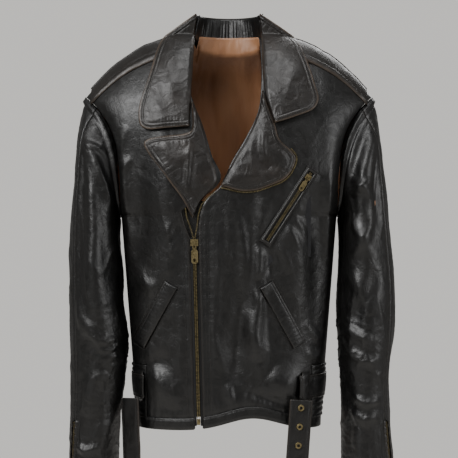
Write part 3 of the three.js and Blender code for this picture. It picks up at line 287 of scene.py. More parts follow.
def skin(name, face, thick, look, body, wear_and_painted_sheen=None, ring=False, core=(0, 0), rim_wear=0.6):
    """A closed piece of one thickness behind a face given as rows of points in mm."""
    rows, columns = face.shape[:2]
    if ring:
        du = np.roll(face, -1, 1) - np.roll(face, 1, 1)
    else:
        du = np.gradient(face, axis=1)
    normal = np.cross(du, np.gradient(face, axis=0))
    normal /= np.linalg.norm(normal, axis=2, keepdims=True) + 1e-9
    away = face - np.array([core[0], core[1], 0.0])
    if np.sum(normal[..., :2] * away[..., :2]) < 0:
        normal = -normal
    behind = face - normal * thick
    middle = (face + behind) / 2
    index = np.arange(rows * columns).reshape(rows, columns)
    if ring:
        index = np.concatenate([index, index[:, :1]], 1)
        loops = [index[0, :-1], index[-1, :-1][::-1]]
    else:
        loops = [np.concatenate([index[0, :-1], index[:-1, -1], index[-1, :0:-1], index[:0:-1, 0]])]
    quads = np.stack([index[:-1, :-1], index[:-1, 1:], index[1:, 1:], index[1:, :-1]], -1).reshape(-1, 4)
    count = rows * columns
    faces = [quads, quads[:, ::-1] + count]
    points = [face.reshape(-1, 3), behind.reshape(-1, 3)]
    total = 2 * count
    out = np.zeros_like(face)
    out[0] += face[0] - face[1]
    out[-1] += face[-1] - face[-2]
    if not ring:
        out[:, 0] += face[:, 0] - face[:, 1]
        out[:, -1] += face[:, -1] - face[:, -2]
    out /= np.linalg.norm(out, axis=2, keepdims=True) + 1e-9
    rim = (middle + out * thick * 0.42).reshape(-1, 3)
    for loop in loops:
        here = total + np.arange(len(loop))
        points.append(rim[loop])
        total += len(loop)
        a, b = loop, np.roll(loop, -1)
        c, d = here, np.roll(here, -1)
        faces.append(np.stack([a, c, d, b], -1))
        faces.append(np.stack([c, a + count, b + count, d], -1))
    points, faces = np.concatenate(points), np.concatenate(faces)
    mesh = bpy.data.meshes.new(name)
    mesh.from_pydata((points * 0.001).tolist(), [], faces.tolist())
    whole = bmesh.new()
    whole.from_mesh(mesh)
    bmesh.ops.recalc_face_normals(whole, faces=whole.faces)
    whole.to_mesh(mesh)
    whole.free()
    mesh.polygons.foreach_set("use_smooth", [True] * len(mesh.polygons))
    # where the piece is paler: rubbed wear, and on the left sleeve a painted highlight along the outer seam
    worn_and_lit = mesh.attributes.new("wear_and_painted_sheen", "FLOAT", "POINT")
    amount = np.full(len(points), rim_wear)
    amount[:count] = 0.0 if wear_and_painted_sheen is None else np.ravel(wear_and_painted_sheen)
    amount[count : 2 * count] = 0.0
    worn_and_lit.data.foreach_set("value", amount.astype(np.float32))
    piece = bpy.data.objects.new(name, mesh)
    bpy.context.collection.objects.link(piece)
    mesh.materials.append(look)
    if body:
        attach(piece, body)
    return piece


def cut(side, inner, outer, top, bottom, columns, rows, both=False):
    """X and Z of a cut piece's points between its side edges, its top and its foot."""
    spread = lambda u: 1 - (1 - u) ** 1.8
    u = np.linspace(0, 1, columns + 1)
    share = 0.5 + 0.5 * np.sign(2 * u - 1) * spread(np.abs(2 * u - 1)) if both else spread(u)
    across = lambda z: side * lerp(inner(z), outer(z), share)

    def settle(edge):
        z = edge(across(np.zeros_like(share)))
        for _ in range(8):
            z = edge(across(z))
        return z

    z = lerp(settle(top)[None], settle(bottom)[None], np.linspace(0, 1, rows + 1)[:, None])
    return across(z), z


def hem_z(x):
    return -BODY_LENGTH + 20 * np.exp(-(((x - 40) / 60) ** 2))


def zip_x(z):
    return ZIP_TOP_X * half_width(z) / half_width(-ZIP_TOP_DROP)


left_edge_upper = through([
    (-5, 52), (67, 55), (89, 54), (128, 49), (175, 27), (213, 5), (247, -10), (258, -18),
    (265, -27), (277, -38), (292, -45), (311, -48.5), (ZIP_TOP_DROP, ZIP_TOP_X + ZIP_EDGE),
])
right_edge_upper = through([
    (-5, 59), (67, 62), (102, 63), (112, 60), (144, 47), (202, 29), (248, 17), (258, 26),
    (266, 36), (277, 48), (285, 66), (292, 77), (304, 77), (322, 72), (ZIP_TOP_DROP, ZIP_EDGE - ZIP_TOP_X),
])


def left_edge(z):
    return np.where(-z < ZIP_TOP_DROP, left_edge_upper(-z), zip_x(z) + ZIP_EDGE)


def right_edge(z):
    return np.where(-z < ZIP_TOP_DROP, right_edge_upper(-z), ZIP_EDGE - zip_x(z))


# Folds of each front: chain of (x, z), width, height, lean to one side.
right_folds = [
    ([(-150, -120), (-146, -220), (-143, -330), (-150, -420)], 26, -9, 0.3),
    ([(-188, -235), (-183, -300), (-172, -390)], 14, 6, -0.4),
    ([(-100, -190), (-96, -280), (-92, -360), (-99, -440)], 24, 4.5, 0.4),
    ([(-168, -150), (-186, -190), (-200, -205)], 9, 3.5, 0.4),
    ([(-160, -205), (-180, -225), (-196, -232)], 7, 2.6, 0.4),
    ([(-75, -300), (-92, -318), (-104, -340)], 8, 2.2, 0.5),
    ([(-70, -335), (-88, -352), (-97, -372)], 7, 1.8, 0.5),
    ([(-120, -430), (-146, -412), (-160, -380)], 12, 3.0, 0.3),
    ([(-70, -420), (-74, -500), (-72, -590)], 13, 2.6, 0.2),
    ([(-130, -560), (-105, -590), (-75, -598)], 22, 6.0, 0.2),
    ([(-150, -540), (-125, -545), (-95, -538)], 15, -4.5, 0.2),
    ([(-140, -505), (-120, -560), (-112, -612)], 10, 2.5, 0.5),
    ([(-110, -620), (-90, -628), (-70, -622)], 7, -2.5, 0),
]
left_folds = [
    ([(52, -262), (50, -330), (47, -400), (46, -470), (49, -552)], 13, 6.5, -1.1),
    ([(30, -455), (33, -490), (45, -545)], 13, 6.5, -0.7),
    ([(20, -400), (22, -450), (14, -520), (4, -590)], 13, -5.5, 0.4),
    ([(62, -300), (66, -420), (60, -520)], 13, -5, 0.3),
    ([(12, -285), (24, -330), (30, -380), (22, -430)], 10, 3.4, 0.6),
    ([(-20, -300), (-16, -380), (-22, -470), (-26, -560)], 10, 3.6, 0.5),
    ([(0, -285), (4, -340), (-4, -400)], 8, 2.6, 0.5),
    ([(-34, -470), (-20, -520), (-8, -560)], 9, 3.0, 0.5),
    ([(78, -260), (92, -300), (118, -372), (124, -440)], 22, 4, 0.4),
    ([(150, -240), (153, -340), (150, -440), (146, -520)], 20, -8.5, 0.4),
    ([(178, -225), (170, -300), (172, -390)], 12, 5.5, 0.5),
    ([(66, -560), (90, -578), (118, -588)], 24, 8, 0.2),
    ([(30, -590), (70, -610), (110, -618)], 10, -5, 0.2),
    ([(0, -575), (4, -600), (12, -622)], 8, 4.5, 0.5),
    ([(40, -580), (34, -605), (36, -625)], 7, 3, 0.5),
    ([(128, -475), (150, -505), (172, -512)], 9, 3.4, 0.6),
    ([(125, -520), (146, -535), (165, -530)], 8, 2.8, 0.6),
    ([(-40, -590), (-25, -612), (-15, -628)], 8, 3, 0.5),
    ([(108, -300), (124, -322), (130, -345)], 6, 2.0, 0.6),
    ([(98, -318), (112, -338), (120, -360)], 6, 1.8, 0.6),
    ([(86, -350), (98, -372), (104, -400)], 8, 2.4, 0.6),
    ([(75, -400), (60, -424), (54, -450)], 8, 3, 0.5),
]
POCKET_LONG = 115.0
POCKET_WIDE = 23.0
POCKET_DROP = 416
POCKET_SLOPE = math.radians(61)
POCKET_START = {"right": 96, "left": 62}


def pocket_at(side, start_x, along, across):
    """X and Z on a hand pocket: along it from its top, and across it upwards."""
    run = side * math.cos(POCKET_SLOPE), -math.sin(POCKET_SLOPE)
    return (
        side * start_x + run[0] * along - side * run[1] * across,
        -POCKET_DROP + run[1] * along + side * run[0] * across,
    )


def pucker(d, share, pitch, reach):
    """Small gathers along a stitched line, fading with distance from it."""
    beat = np.sin(share * 6.28 / pitch) * np.sin(share * 6.28 / (pitch * 2.7) + 1)
    return beat * np.exp(-((d / reach) ** 2)) * (1 - np.exp(-((d / 1.5) ** 2)))


def front_height(x, z):
    """How far the leather of the fronts stands proud of its plain shape."""
    p = np.stack([x, np.zeros_like(x), z], -1)
    left = x > zip_x(z)
    laid = 1.3 * np.where(left, folds(x, z, left_folds), folds(x, z, right_folds))
    loose = 2.0 * waves(p, 80, 11, 2, (1.3, 1, 0.5)) + 0.9 * crumple(p, 75, 5, (1.2, 1, 0.5))
    small = 0.3 * crumple(p, 24, 8) + 0.15 * waves(p, 14, 21, 2)
    rise = laid + loose + small * ease(waves(p, 90, 3, 1), -0.3, 0.6)
    for side, start in ((-1, POCKET_START["right"]), (1, POCKET_START["left"])):
        for across in (-POCKET_WIDE / 2 - 3, POCKET_WIDE / 2 + 3):
            ends = [pocket_at(side, start, k, across) for k in (-3, POCKET_LONG + 3)]
            d, share = off_line(x, z, ends)
            rise = rise + 0.9 * pucker(d, share * POCKET_LONG, 9, 9) * ease(share, 0.0, 0.1) * (share < 1)
        middle = [pocket_at(side, start, k, 0) for k in (0, POCKET_LONG)]
        d, share = off_line(x, z, middle)
        rise = rise * lerp(0.35, 1, ease(np.abs(d), 10, 26))
    d, share = off_line(x, z, [(62, -344), (136, -230)])
    rise = rise * lerp(0.25, 1, ease(np.abs(d), 9, 24))
    upper = ease(-z, 130, 240)
    rise = rise * lerp(0.45, 1, upper)
    # the placket beside the zip: stitched ridges of folded leather
    d = np.where(left, x - left_edge(z), -x - right_edge(z))
    placket = ease(-z, 285, 325)
    calm = lerp(1, ease(d, 6, 34), placket)
    ridges = 1.3 - 1.5 * np.exp(-(((d - 5) / 1.3) ** 2)) - 1.5 * np.exp(-(((d - 11) / 1.3) ** 2))
    ridges = ridges + 0.5 - 1.6 * np.exp(-(((d - 17) / 1.5) ** 2)) - 0.8 * ease(d, 18, 24)
    ridges = np.where(left, ridges, 1.0 - 1.4 * np.exp(-(((d - 8) / 1.4) ** 2)) - 1.0 * ease(d, 8, 12))
    waver = 0.35 * pucker(np.abs(d - 14), -z, 11, 12)
    rise = rise * calm + placket * (ridges * (1 - ease(d, 20, 26)) + waver)
    # the stitching along the side, shoulder and hem seams pulls the leather in
    seam = np.minimum(half_width(z) - np.abs(x), 60)
    rise = rise * ease(seam, 0, 16) + 0.7 * pucker(seam, -z, 13, 10)
    top = shoulder_z(x) - z
    rise = rise * ease(top, 2, 60)
    foot = z - hem_z(x) - HEM_BAND
    rise = rise * lerp(0.25, 1, ease(foot, 0, 26)) - 1.4 * np.exp(-((foot / 4) ** 2))
    return rise + 1.0 * pucker(foot, x, 17, 22)


def front_skin(x, z, lift=0.0):
    """Y of the outer face of a front, or of what lies on it at a lift."""
    return np.minimum(front_y(x, z, -lift), -lift) - front_height(x, z)


def facing(surface, x, z):
    """Outward normals of a surface that gives Y from X and Z."""
    step = 0.4
    gx = (surface(x + step, z) - surface(x - step, z)) / (2 * step)
    gz = (surface(x, z + step) - surface(x, z - step)) / (2 * step)
    n = np.stack([gx, -np.ones_like(gx), gz], -1)
    return n / np.linalg.norm(n, axis=-1, keepdims=True)


def row_tree(name, ball):
    """A row of small units along a line: thread stitches as beads, zip teeth as blocks."""
    tree = bpy.data.node_groups.new(name, "GeometryNodeTree")
    face = tree.interface
    face.new_socket("Geometry", in_out="INPUT", socket_type="NodeSocketGeometry")
    for key in ("Pitch", "Long", "Wide", "High"):
        face.new_socket(key, in_out="INPUT", socket_type="NodeSocketFloat")
    face.new_socket("Finish", in_out="INPUT", socket_type="NodeSocketMaterial")
    face.new_socket("Geometry", in_out="OUTPUT", socket_type="NodeSocketGeometry")
    start = put(tree, "NodeGroupInput").outputs
    curve = put(tree, "GeometryNodeMeshToCurve", Mesh=start["Geometry"]).outputs[0]
    even = put(
        tree, "GeometryNodeResampleCurve", {"mode": "LENGTH"}, Curve=curve, Length=start["Pitch"],
    ).outputs[0]
    tangent = put(tree, "GeometryNodeInputTangent").outputs[0]
    outward = put(
        tree, "GeometryNodeInputNamedAttribute", {"data_type": "FLOAT_VECTOR"}, Name="outward",
    ).outputs[0]
    turn = put(tree, "FunctionNodeAlignRotationToVector", {"axis": "X"}, Vector=tangent).outputs[0]
    turn = put(
        tree, "FunctionNodeAlignRotationToVector", {"axis": "Z", "pivot_axis": "X"}, Rotation=turn,
        Vector=outward,
    ).outputs[0]
    if ball:
        unit = put(tree, "GeometryNodeMeshUVSphere", Segments=6, Rings=4, Radius=0.5).outputs[0]
    else:
        unit = put(tree, "GeometryNodeMeshCube", Size=(1.0, 1.0, 1.0)).outputs[0]
    scale = put(tree, "ShaderNodeCombineXYZ", X=start["Long"], Y=start["Wide"], Z=start["High"]).outputs[0]
    many = put(
        tree, "GeometryNodeInstanceOnPoints", Points=even, Instance=unit, Rotation=turn, Scale=scale,
    ).outputs[0]
    solid = put(tree, "GeometryNodeRealizeInstances", Geometry=many).outputs[0]
    done = put(tree, "GeometryNodeSetMaterial", Geometry=solid, Material=start["Finish"]).outputs[0]
    put(tree, "NodeGroupOutput", Geometry=done)
    return tree


stitch_tree = row_tree("thread_stitches", True)
tooth_tree = row_tree("zip_teeth", False)


def row(name, lines, tree, sizes, look, body):
    """Units along lines: each line is its points and their outward directions, in mm."""
    mesh = bpy.data.meshes.new(name)
    points, edges, outward = [], [], []
    for p, n in lines:
        first = len(points)
        points += (p * 0.001).tolist()
        outward += n.tolist()
        edges += [(first + k, first + k + 1) for k in range(len(p) - 1)]
    mesh.from_pydata(points, edges, [])
    held = mesh.attributes.new("outward", "FLOAT_VECTOR", "POINT")
    held.data.foreach_set("vector", np.ravel(outward).astype(np.float32))
    path = bpy.data.objects.new(name + "_path", mesh)
    bpy.context.collection.objects.link(path)
    modifier = path.modifiers.new("row", "NODES")
    modifier.node_group = tree
    ids = {item.name: item.identifier for item in tree.interface.items_tree if item.in_out == "INPUT"}
    for key, value in sizes.items():
        modifier[ids[key]] = value * 0.001
    modifier[ids["Finish"]] = look
    shown = path.evaluated_get(bpy.context.evaluated_depsgraph_get())
    made = bpy.data.meshes.new_from_object(shown)
    made.name = name
    piece = bpy.data.objects.new(name, made)
    bpy.context.collection.objects.link(piece)
    bpy.data.objects.remove(path)
    if not made.materials:
        made.materials.append(look)
    made.polygons.foreach_set("use_smooth", [tree is stitch_tree] * len(made.polygons))
    if body:
        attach(piece, body)
    return piece


def thread():
    """Twisted black thread, a little greyer than the hide where dust sits in it."""
    look, tree = blank("bonded_nylon_thread")
    place = put(tree, "ShaderNodeTexCoord").outputs["Object"]
    twist = put(
        tree, "ShaderNodeTexWave", {"bands_direction": "DIAGONAL"}, Vector=place, Scale=900.0,
        Distortion=1.0,
    )
    tone = put(
        tree, "ShaderNodeMix", {"data_type": "RGBA"}, i0=twist.outputs["Fac"], i6=linear("#2a2825"),
        i7=linear("#3a3733"),
    )
    ply = put(tree, "ShaderNodeBump", Strength=0.4, Distance=0.0002, Height=twist.outputs["Fac"])
    bsdf = put(
        tree, "ShaderNodeBsdfPrincipled", Base_Color=tone.outputs[2], Roughness=0.6, Normal=ply.outputs[0],
    )
    put(tree, "ShaderNodeOutputMaterial", Surface=bsdf.outputs[0])
    return look


black_thread = thread()
STITCH = {"Pitch": 4.2, "Long": 3.0, "Wide": 0.75, "High": 0.6}


def stitch_on(name, surface, chains, body, lift=0.15):
    """Stitches on a surface that gives Y from X and Z, along chains of (x, z)."""
    lines = []
    for chain in chains:
        c = np.array(chain, float)
        if len(c) < 12:
            run = np.concatenate([[0], np.cumsum(np.linalg.norm(np.diff(c, axis=0), axis=1))])
            at = np.linspace(0, run[-1], max(int(run[-1] / 4), 2))
            c = np.stack([np.interp(at, run, c[:, k]) for k in (0, 1)], -1)
        n = facing(surface, c[:, 0], c[:, 1])
        p = np.stack([c[:, 0], surface(c[:, 0], c[:, 1]), c[:, 1]], -1) + n * lift
        lines.append((p, n))
    return row(name, lines, stitch_tree, STITCH, black_thread, body)


for name, side, edge in (("right", -1, right_edge), ("left", 1, left_edge)):
    x, z = cut(side, edge, half_width, shoulder_z, lambda x: hem_z(x) + HEM_BAND - 1.5, 96, 230)
    y = front_skin(x, z)
    kidney = (np.abs(x) > KIDNEY_FRONT) & (z < -KIDNEY_DROP)
    y = np.where(kidney, np.minimum(front_y(x, z) + 2.2, -0.4), y)
    edge_wear = 0.5 * np.exp(-((np.abs(x - side * edge(z)) / 3) ** 2)) * (z < -260)
    piece = skin(
        f"{name}_front_leather", np.stack([x, y, z], -1), LEATHER, black_leather, "jacket", edge_wear,
    )
    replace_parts(piece, f"{name}_front")

zs = np.linspace(-342, -640, 90)
rows_left = [np.stack([zip_x(zs) + ZIP_EDGE + d, zs], -1) for d in (2.6, 8.0, 14.0)]
rows_right = [np.stack([zip_x(zs) - ZIP_EDGE - d, zs], -1) for d in (2.6, 10.0)]
stitch_on("placket_stitches", front_skin, rows_left + rows_right, "jacket")

# ---------------------------------------------------------------- back
# One large hide panel, lightly creased across where a seat has pressed it.


def back_height(x, z):
    p = np.stack([x, np.zeros_like(x), z], -1)
    creases = [
        ([(-120, -140), (-125, -260), (-110, -380)], 20, 4, 0.4),
        ([(120, -140), (128, -260), (112, -380)], 20, 4, -0.4),
        ([(-60, -470), (0, -486), (70, -474)], 12, 3.2, 0.6),
        ([(-90, -520), (-20, -530), (50, -520)], 11, 3.4, 0.6),
        ([(-30, -440), (40, -450), (100, -436)], 10, 2.4, 0.6),
    ]
    rise = folds(x, z, creases) + 1.4 * waves(p, 90, 31, 3, (1.2, 1, 0.7)) + 0.8 * crumple(p, 70, 33)
    seam = half_width(z) - np.abs(x)
    rise = rise * ease(seam, 0, 18) * ease(shoulder_z(x) - z, 2, 45) + 0.5 * pucker(seam, -z, 13, 10)
    return rise - 1.2 * np.exp(-(((z + BODY_LENGTH - HEM_BAND) / 4) ** 2))


def back_neck(x):
    return shoulder_z(x) - 16 * np.sqrt(np.clip(1 - (x / NECK_HALF) ** 2, 0, 1))


def back_skin(x, z, lift=0.0):
    return back_y(x, z, -lift) + back_height(x, z)


x, z = cut(
    1, lambda z: -half_width(z), half_width, back_neck, lambda x: 0 * x - BODY_LENGTH + HEM_BAND - 1.5, 130,
    180, True,
)
y = back_skin(x, z)
y = np.where((np.abs(x) > KIDNEY_FRONT) & (z < -KIDNEY_DROP), np.maximum(back_y(x, z) - 2.2, 0.4), y)
back = skin("back_leather", np.stack([x, y, z], -1), LEATHER, black_leather, "jacket")
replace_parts(back, "back_panel")

# ---------------------------------------------------------------- pleated sides
# Over each hip the hide is sewn into level pleats on a stretch backing, so that the
# waist can give when the wearer leans forward.
ribbed_leather = leather("pleated_cowhide", "#090909", "#121212", "#2e2924", 0.4)
for name, side in (("right", -1), ("left", 1)):
    turn = np.linspace(-1, 1, 61)[None]
    z = np.linspace(-KIDNEY_DROP - 0.5, -BODY_LENGTH + HEM_BAND - 1, 70)[:, None]
    x = side * lerp(half_width(z), KIDNEY_FRONT + 0.5, np.abs(turn) ** 1.8)
    z = z + 0 * x
    pleat = 1.9 * np.abs(np.sin((z - 4 * np.cos(turn * 1.5)) * math.pi / 9.5)) ** 0.6 - 0.7
    pleat = pleat * ease(1 - np.abs(turn), 0, 0.12)
    y = np.where(turn < 0, front_y(x, z, -1.2) - pleat, back_y(x, z, -1.2) + pleat)
    y[:, 30] = 0
    outward = x + side * pleat * (1 - np.abs(turn)) ** 2
    piece = skin(
        f"{name}_pleats", np.stack([outward, y, z], -1), LEATHER, ribbed_leather, "jacket",
        core=(side * 100, 0),
    )
    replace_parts(piece, f"{name}_kidney_panel")

# ---------------------------------------------------------------- hem bands
# A doubled band of the same hide, turned under and stitched along both edges.


def band(name, x, top, foot, surface, sign):
    """A doubled strip: its section is a flat oval, swelling between its two seams."""
    v = np.linspace(0, 1, 15)[:, None]
    z = lerp(top[None], foot[None], v)
    swell = 2.6 * np.sqrt(np.clip(1 - (2 * v - 1) ** 6, 0, 1)) - 0.9 * np.exp(-(((v - 0.14) / 0.06) ** 2))
    swell = swell - 0.9 * np.exp(-(((v - 0.86) / 0.06) ** 2))
    beat = 0.35 * np.sin(x * 0.55) * np.sin(x * 0.21 + 2) * np.sin(math.pi * v)
    depth = surface(x + 0 * v, z)
    y = depth + sign * (swell + beat - 1.6)
    piece = skin(
        f"{name}_hem_leather", np.stack([x + 0 * v, y, z], -1), 4.4, black_leather, "jacket",
        0.35 * (v > 0.92) + 0 * x,
    )
    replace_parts(piece, f"{name}_hem_band")
    return np.stack([x + 0 * v, y, z], -1)


def hem_side(u):
    return 1 - (1 - u) ** 1.8


HEM_REACH = 155.6
u = np.linspace(0, 1, 120)
hem_rows = []
for name, start, end in (
    ("right", zip_x(-648) - ZIP_EDGE, -HEM_HALF), ("left", zip_x(-648) + ZIP_EDGE, HEM_HALF),
):
    x = lerp(start, end, hem_side(u))
    x = np.where(np.abs(x) > HEM_REACH, np.sign(x) * HEM_REACH, x)
    face = band(name, x, hem_z(x) + HEM_BAND, hem_z(x), lambda x, z: front_y(x, z, -0.8), -1)
    hem_rows += [(face[k], np.tile([0.0, -1.0, 0.0], (len(u), 1))) for k in (2, 12)]
x = HEM_REACH * np.sign(2 * u - 1) * hem_side(np.abs(2 * u - 1))
band("back", x, 0 * x - BODY_LENGTH + HEM_BAND, 0 * x - BODY_LENGTH, lambda x, z: back_y(x, z, -0.8), 1)
row("hem_stitches", hem_rows, stitch_tree, STITCH, black_thread, "jacket")

# ---------------------------------------------------------------- satin lining
# Copper satin hangs loose inside the shell. It is gathered into the neck seam and falls
# in soft upright folds, with its seams to the inside.


def satin_cloth():
    """Acetate satin: long floats give a silky streak of gloss across the weave."""
    look, tree = blank("acetate_satin")
    place = put(tree, "ShaderNodeTexCoord").outputs["Object"]
    long = put(tree, "ShaderNodeMapping", Vector=place, Scale=(1.0, 1.0, 0.18)).outputs[0]
    # warp threads are 0.1 mm apart and are drawn at 1 mm so that they show
    floats = put(tree, "ShaderNodeTexNoise", Vector=long, Scale=900.0, Detail=2.0)
    drift = put(tree, "ShaderNodeTexNoise", Vector=long, Scale=22.0, Detail=4.0, Roughness=0.55)
    tone = put(
        tree, "ShaderNodeMix", {"data_type": "RGBA"}, i0=drift.outputs["Fac"], i6=linear("#6f452b"),
        i7=linear("#bd895f"),
    )
    fine = put(tree, "ShaderNodeBump", Strength=0.15, Distance=0.0003, Height=floats.outputs["Fac"])
    soft = put(
        tree, "ShaderNodeBump", Strength=0.7, Distance=0.006, Height=drift.outputs["Fac"],
        Normal=fine.outputs[0],
    )
    gloss = put(tree, "ShaderNodeMapRange", Value=floats.outputs["Fac"], i3=0.38, i4=0.52)
    bsdf = put(
        tree, "ShaderNodeBsdfPrincipled", Base_Color=tone.outputs[2], Roughness=gloss.outputs[0],
        Normal=soft.outputs[0],
    )
    bsdf.inputs["Sheen Weight"].default_value = 0.3
    bsdf.inputs["Anisotropic"].default_value = 0.4
    put(tree, "ShaderNodeOutputMaterial", Surface=bsdf.outputs[0])
    return look


satin = satin_cloth()
SATIN = 0.8


def lining_inset(z):
    return lerp(12, 5, ease(-z, BODY_LENGTH - 60, BODY_LENGTH - 12))


def gathers(x, z, seed):
    """Upright folds that are tight at the neck and open out below."""
    p = np.stack([x, np.zeros_like(x), z], -1)
    sway = 14 * waves(p, 160, seed + 4, 1)
    fold = waves(np.stack([x + sway, 0 * x, z], -1), 46, seed, 2, (1, 1, 0.13))
    tight = ease(z, -110, 0)
    small = np.sin((x + 5 * waves(p, 60, seed + 9, 2)) * 0.72) * tight
    return 4.4 * fold * lerp(1, 0.7, tight) + 1.3 * small + 1.3 * crumple(p, 80, seed + 2, (1, 1, 0.5))


for name, side, edge in (("right", -1, right_edge), ("left", 1, lambda z: np.maximum(left_edge(z), 0))):
    inside = lambda z: half_width(z) - lining_inset(z)
    x, z = cut(
        side, lambda z: edge(z) + 26, inside, lambda x: shoulder_z(x) - 12, lambda x: hem_z(x) + 10, 60,
        120,
    )
    settle = (
        ease(half_width(z) - 12 - np.abs(x), 0, 30)
        * ease(z, -640, -600)
        * ease(shoulder_z(x) - 12 - z, 0, 25)
    )
    y = front_y(x, z, lining_inset(z)) + np.clip(gathers(x, z, 41) + 3, 0, 9) * settle
    piece = skin(f"{name}_front_satin", np.stack([x, y, z], -1), SATIN, satin, "jacket", rim_wear=0)
    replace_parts(piece, f"{name}_front_lining")
    # cut sizes: length from shoulder to hem with turnings, width round the chest with ease
    wide, area = (0.16, 0.092) if name == "right" else (0.21, 0.118)


def stand_y(x, z):
    """Y of the collar stand's inner face, which the head of the back lining is sewn to."""
    high = 59 * np.sqrt(np.clip(1 - (x / 57) ** 2, 0, 1)) - 7.5
    return lerp(high, back_y(x, back_neck(x)) - 3, np.clip((43 - z) / (43 - back_neck(x)), 0, 1))


def satin_top(x):
    return lerp(back_neck(x) - 12, 9 + 0.5 * np.sin(x * 1.3), ease(55 - np.abs(x), 0, 4))


x, z = cut(1, lambda z: lining_inset(z) - half_width(z), lambda z: half_width(z) - lining_inset(z),
           satin_top, lambda x: 0 * x - BODY_LENGTH + 10, 170, 170, True)
settle = ease(half_width(z) - 12 - np.abs(x), 0, 40) * ease(z, -640, -600)
sewn = back_neck(x) - 12
y = back_y(x, np.minimum(z, sewn), lining_inset(z))
y = np.where(z > sewn, lerp(y, stand_y(x, z) - 1.5, ease(z, sewn, 8)), y)
y = y - np.clip(gathers(x, z, 52) + 4, 0, 11) * settle * lerp(1, 0.35, ease(z, -60, 9))
face = np.stack([x, y, z], -1)
piece = skin("back_satin", face, SATIN, satin, "jacket", rim_wear=0)
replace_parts(piece, "back_lining")

# ---------------------------------------------------------------- collar
# The stand rises inside the neck, puckered by its seam; the leaf folds down from it
# over the fronts. Two rows of topstitch run round the leaf, and its edges are rubbed.
collar_leather = leather("rubbed_cowhide", "#12100e", "#1f1a17", "#4a3d31", 0.42)
COLLAR_TOP = 45.0


def neck_foot(f):
    x = NECK_HALF * np.cos(np.pi * f)
    return np.stack([x, back_y(x, back_neck(x)), back_neck(x)], -1)


def neck_top(f, out):
    return np.stack(
        [(55 + out) * np.cos(np.pi * f), (62 + out) * np.sin(np.pi * f) - 4.4, COLLAR_TOP + 0 * f], -1,
    )


f = np.linspace(0, 1, 121)[None, :, None]
v = np.linspace(0, 1, 21)[:, None, None]
g = f[0, :, 0]
top = neck_top(g, -3.0)
top[:, 2] = COLLAR_TOP - 2
stand = lerp(top[None], (neck_foot(g) + [0, 0, 1.0])[None], v)
stand[..., 1] = np.maximum(stand[..., 1], -1)
inner = stand * [0.965, 1, 1]
ruck = np.sin(g * 118) * np.sin(g * 47 + 1) + 0.6 * np.sin(g * 210)
inner[..., 1] -= (
    1.6 + 1.1 * ruck[None] * np.sin(np.pi * np.clip(v[..., 0] * 1.1, 0, 1)) * np.sin(np.pi * g)[None]
)
piece = skin("collar_stand_leather", inner[::-1], -1.6, black_leather, "jacket", rim_wear=0.2)
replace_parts(piece, "collar_stand")

g = np.linspace(0, 1, 121)
v = np.linspace(0, 1, 31)[:, None]
flare = 3.5 + (2.5 + 20 * np.sin(np.pi * g)[None]) * v
fall = 75 * lerp(0.35, 1, np.sin(np.pi * g)[None]) * v
x = (55 + flare) * np.cos(np.pi * g)[None]
y = (62 + flare) * np.sin(np.pi * g)[None] - 4.4
z = COLLAR_TOP - fall + 0 * x
over = np.maximum(y, back_y(x, z, -3.0))
y = np.where(z < shoulder_z(x) + 2.4, over, y)
roll = np.exp(-v * 9)
y = y - 3 * roll * np.sin(np.pi * g)[None]
edge_wear = 0.8 * ease(v, 0.93, 1) + 0.5 * ease(1 - v, 0.95, 1) + 0 * x
y = y - 0.7 * np.exp(-(((v - 0.93) / 0.02) ** 2)) + 0.8 * waves(np.stack([x, y, z], -1), 60, 71)
piece = skin("collar_back_leather", np.stack([x, y, z], -1), LEATHER, collar_leather, "jacket", edge_wear)
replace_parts(piece, "collar_back")


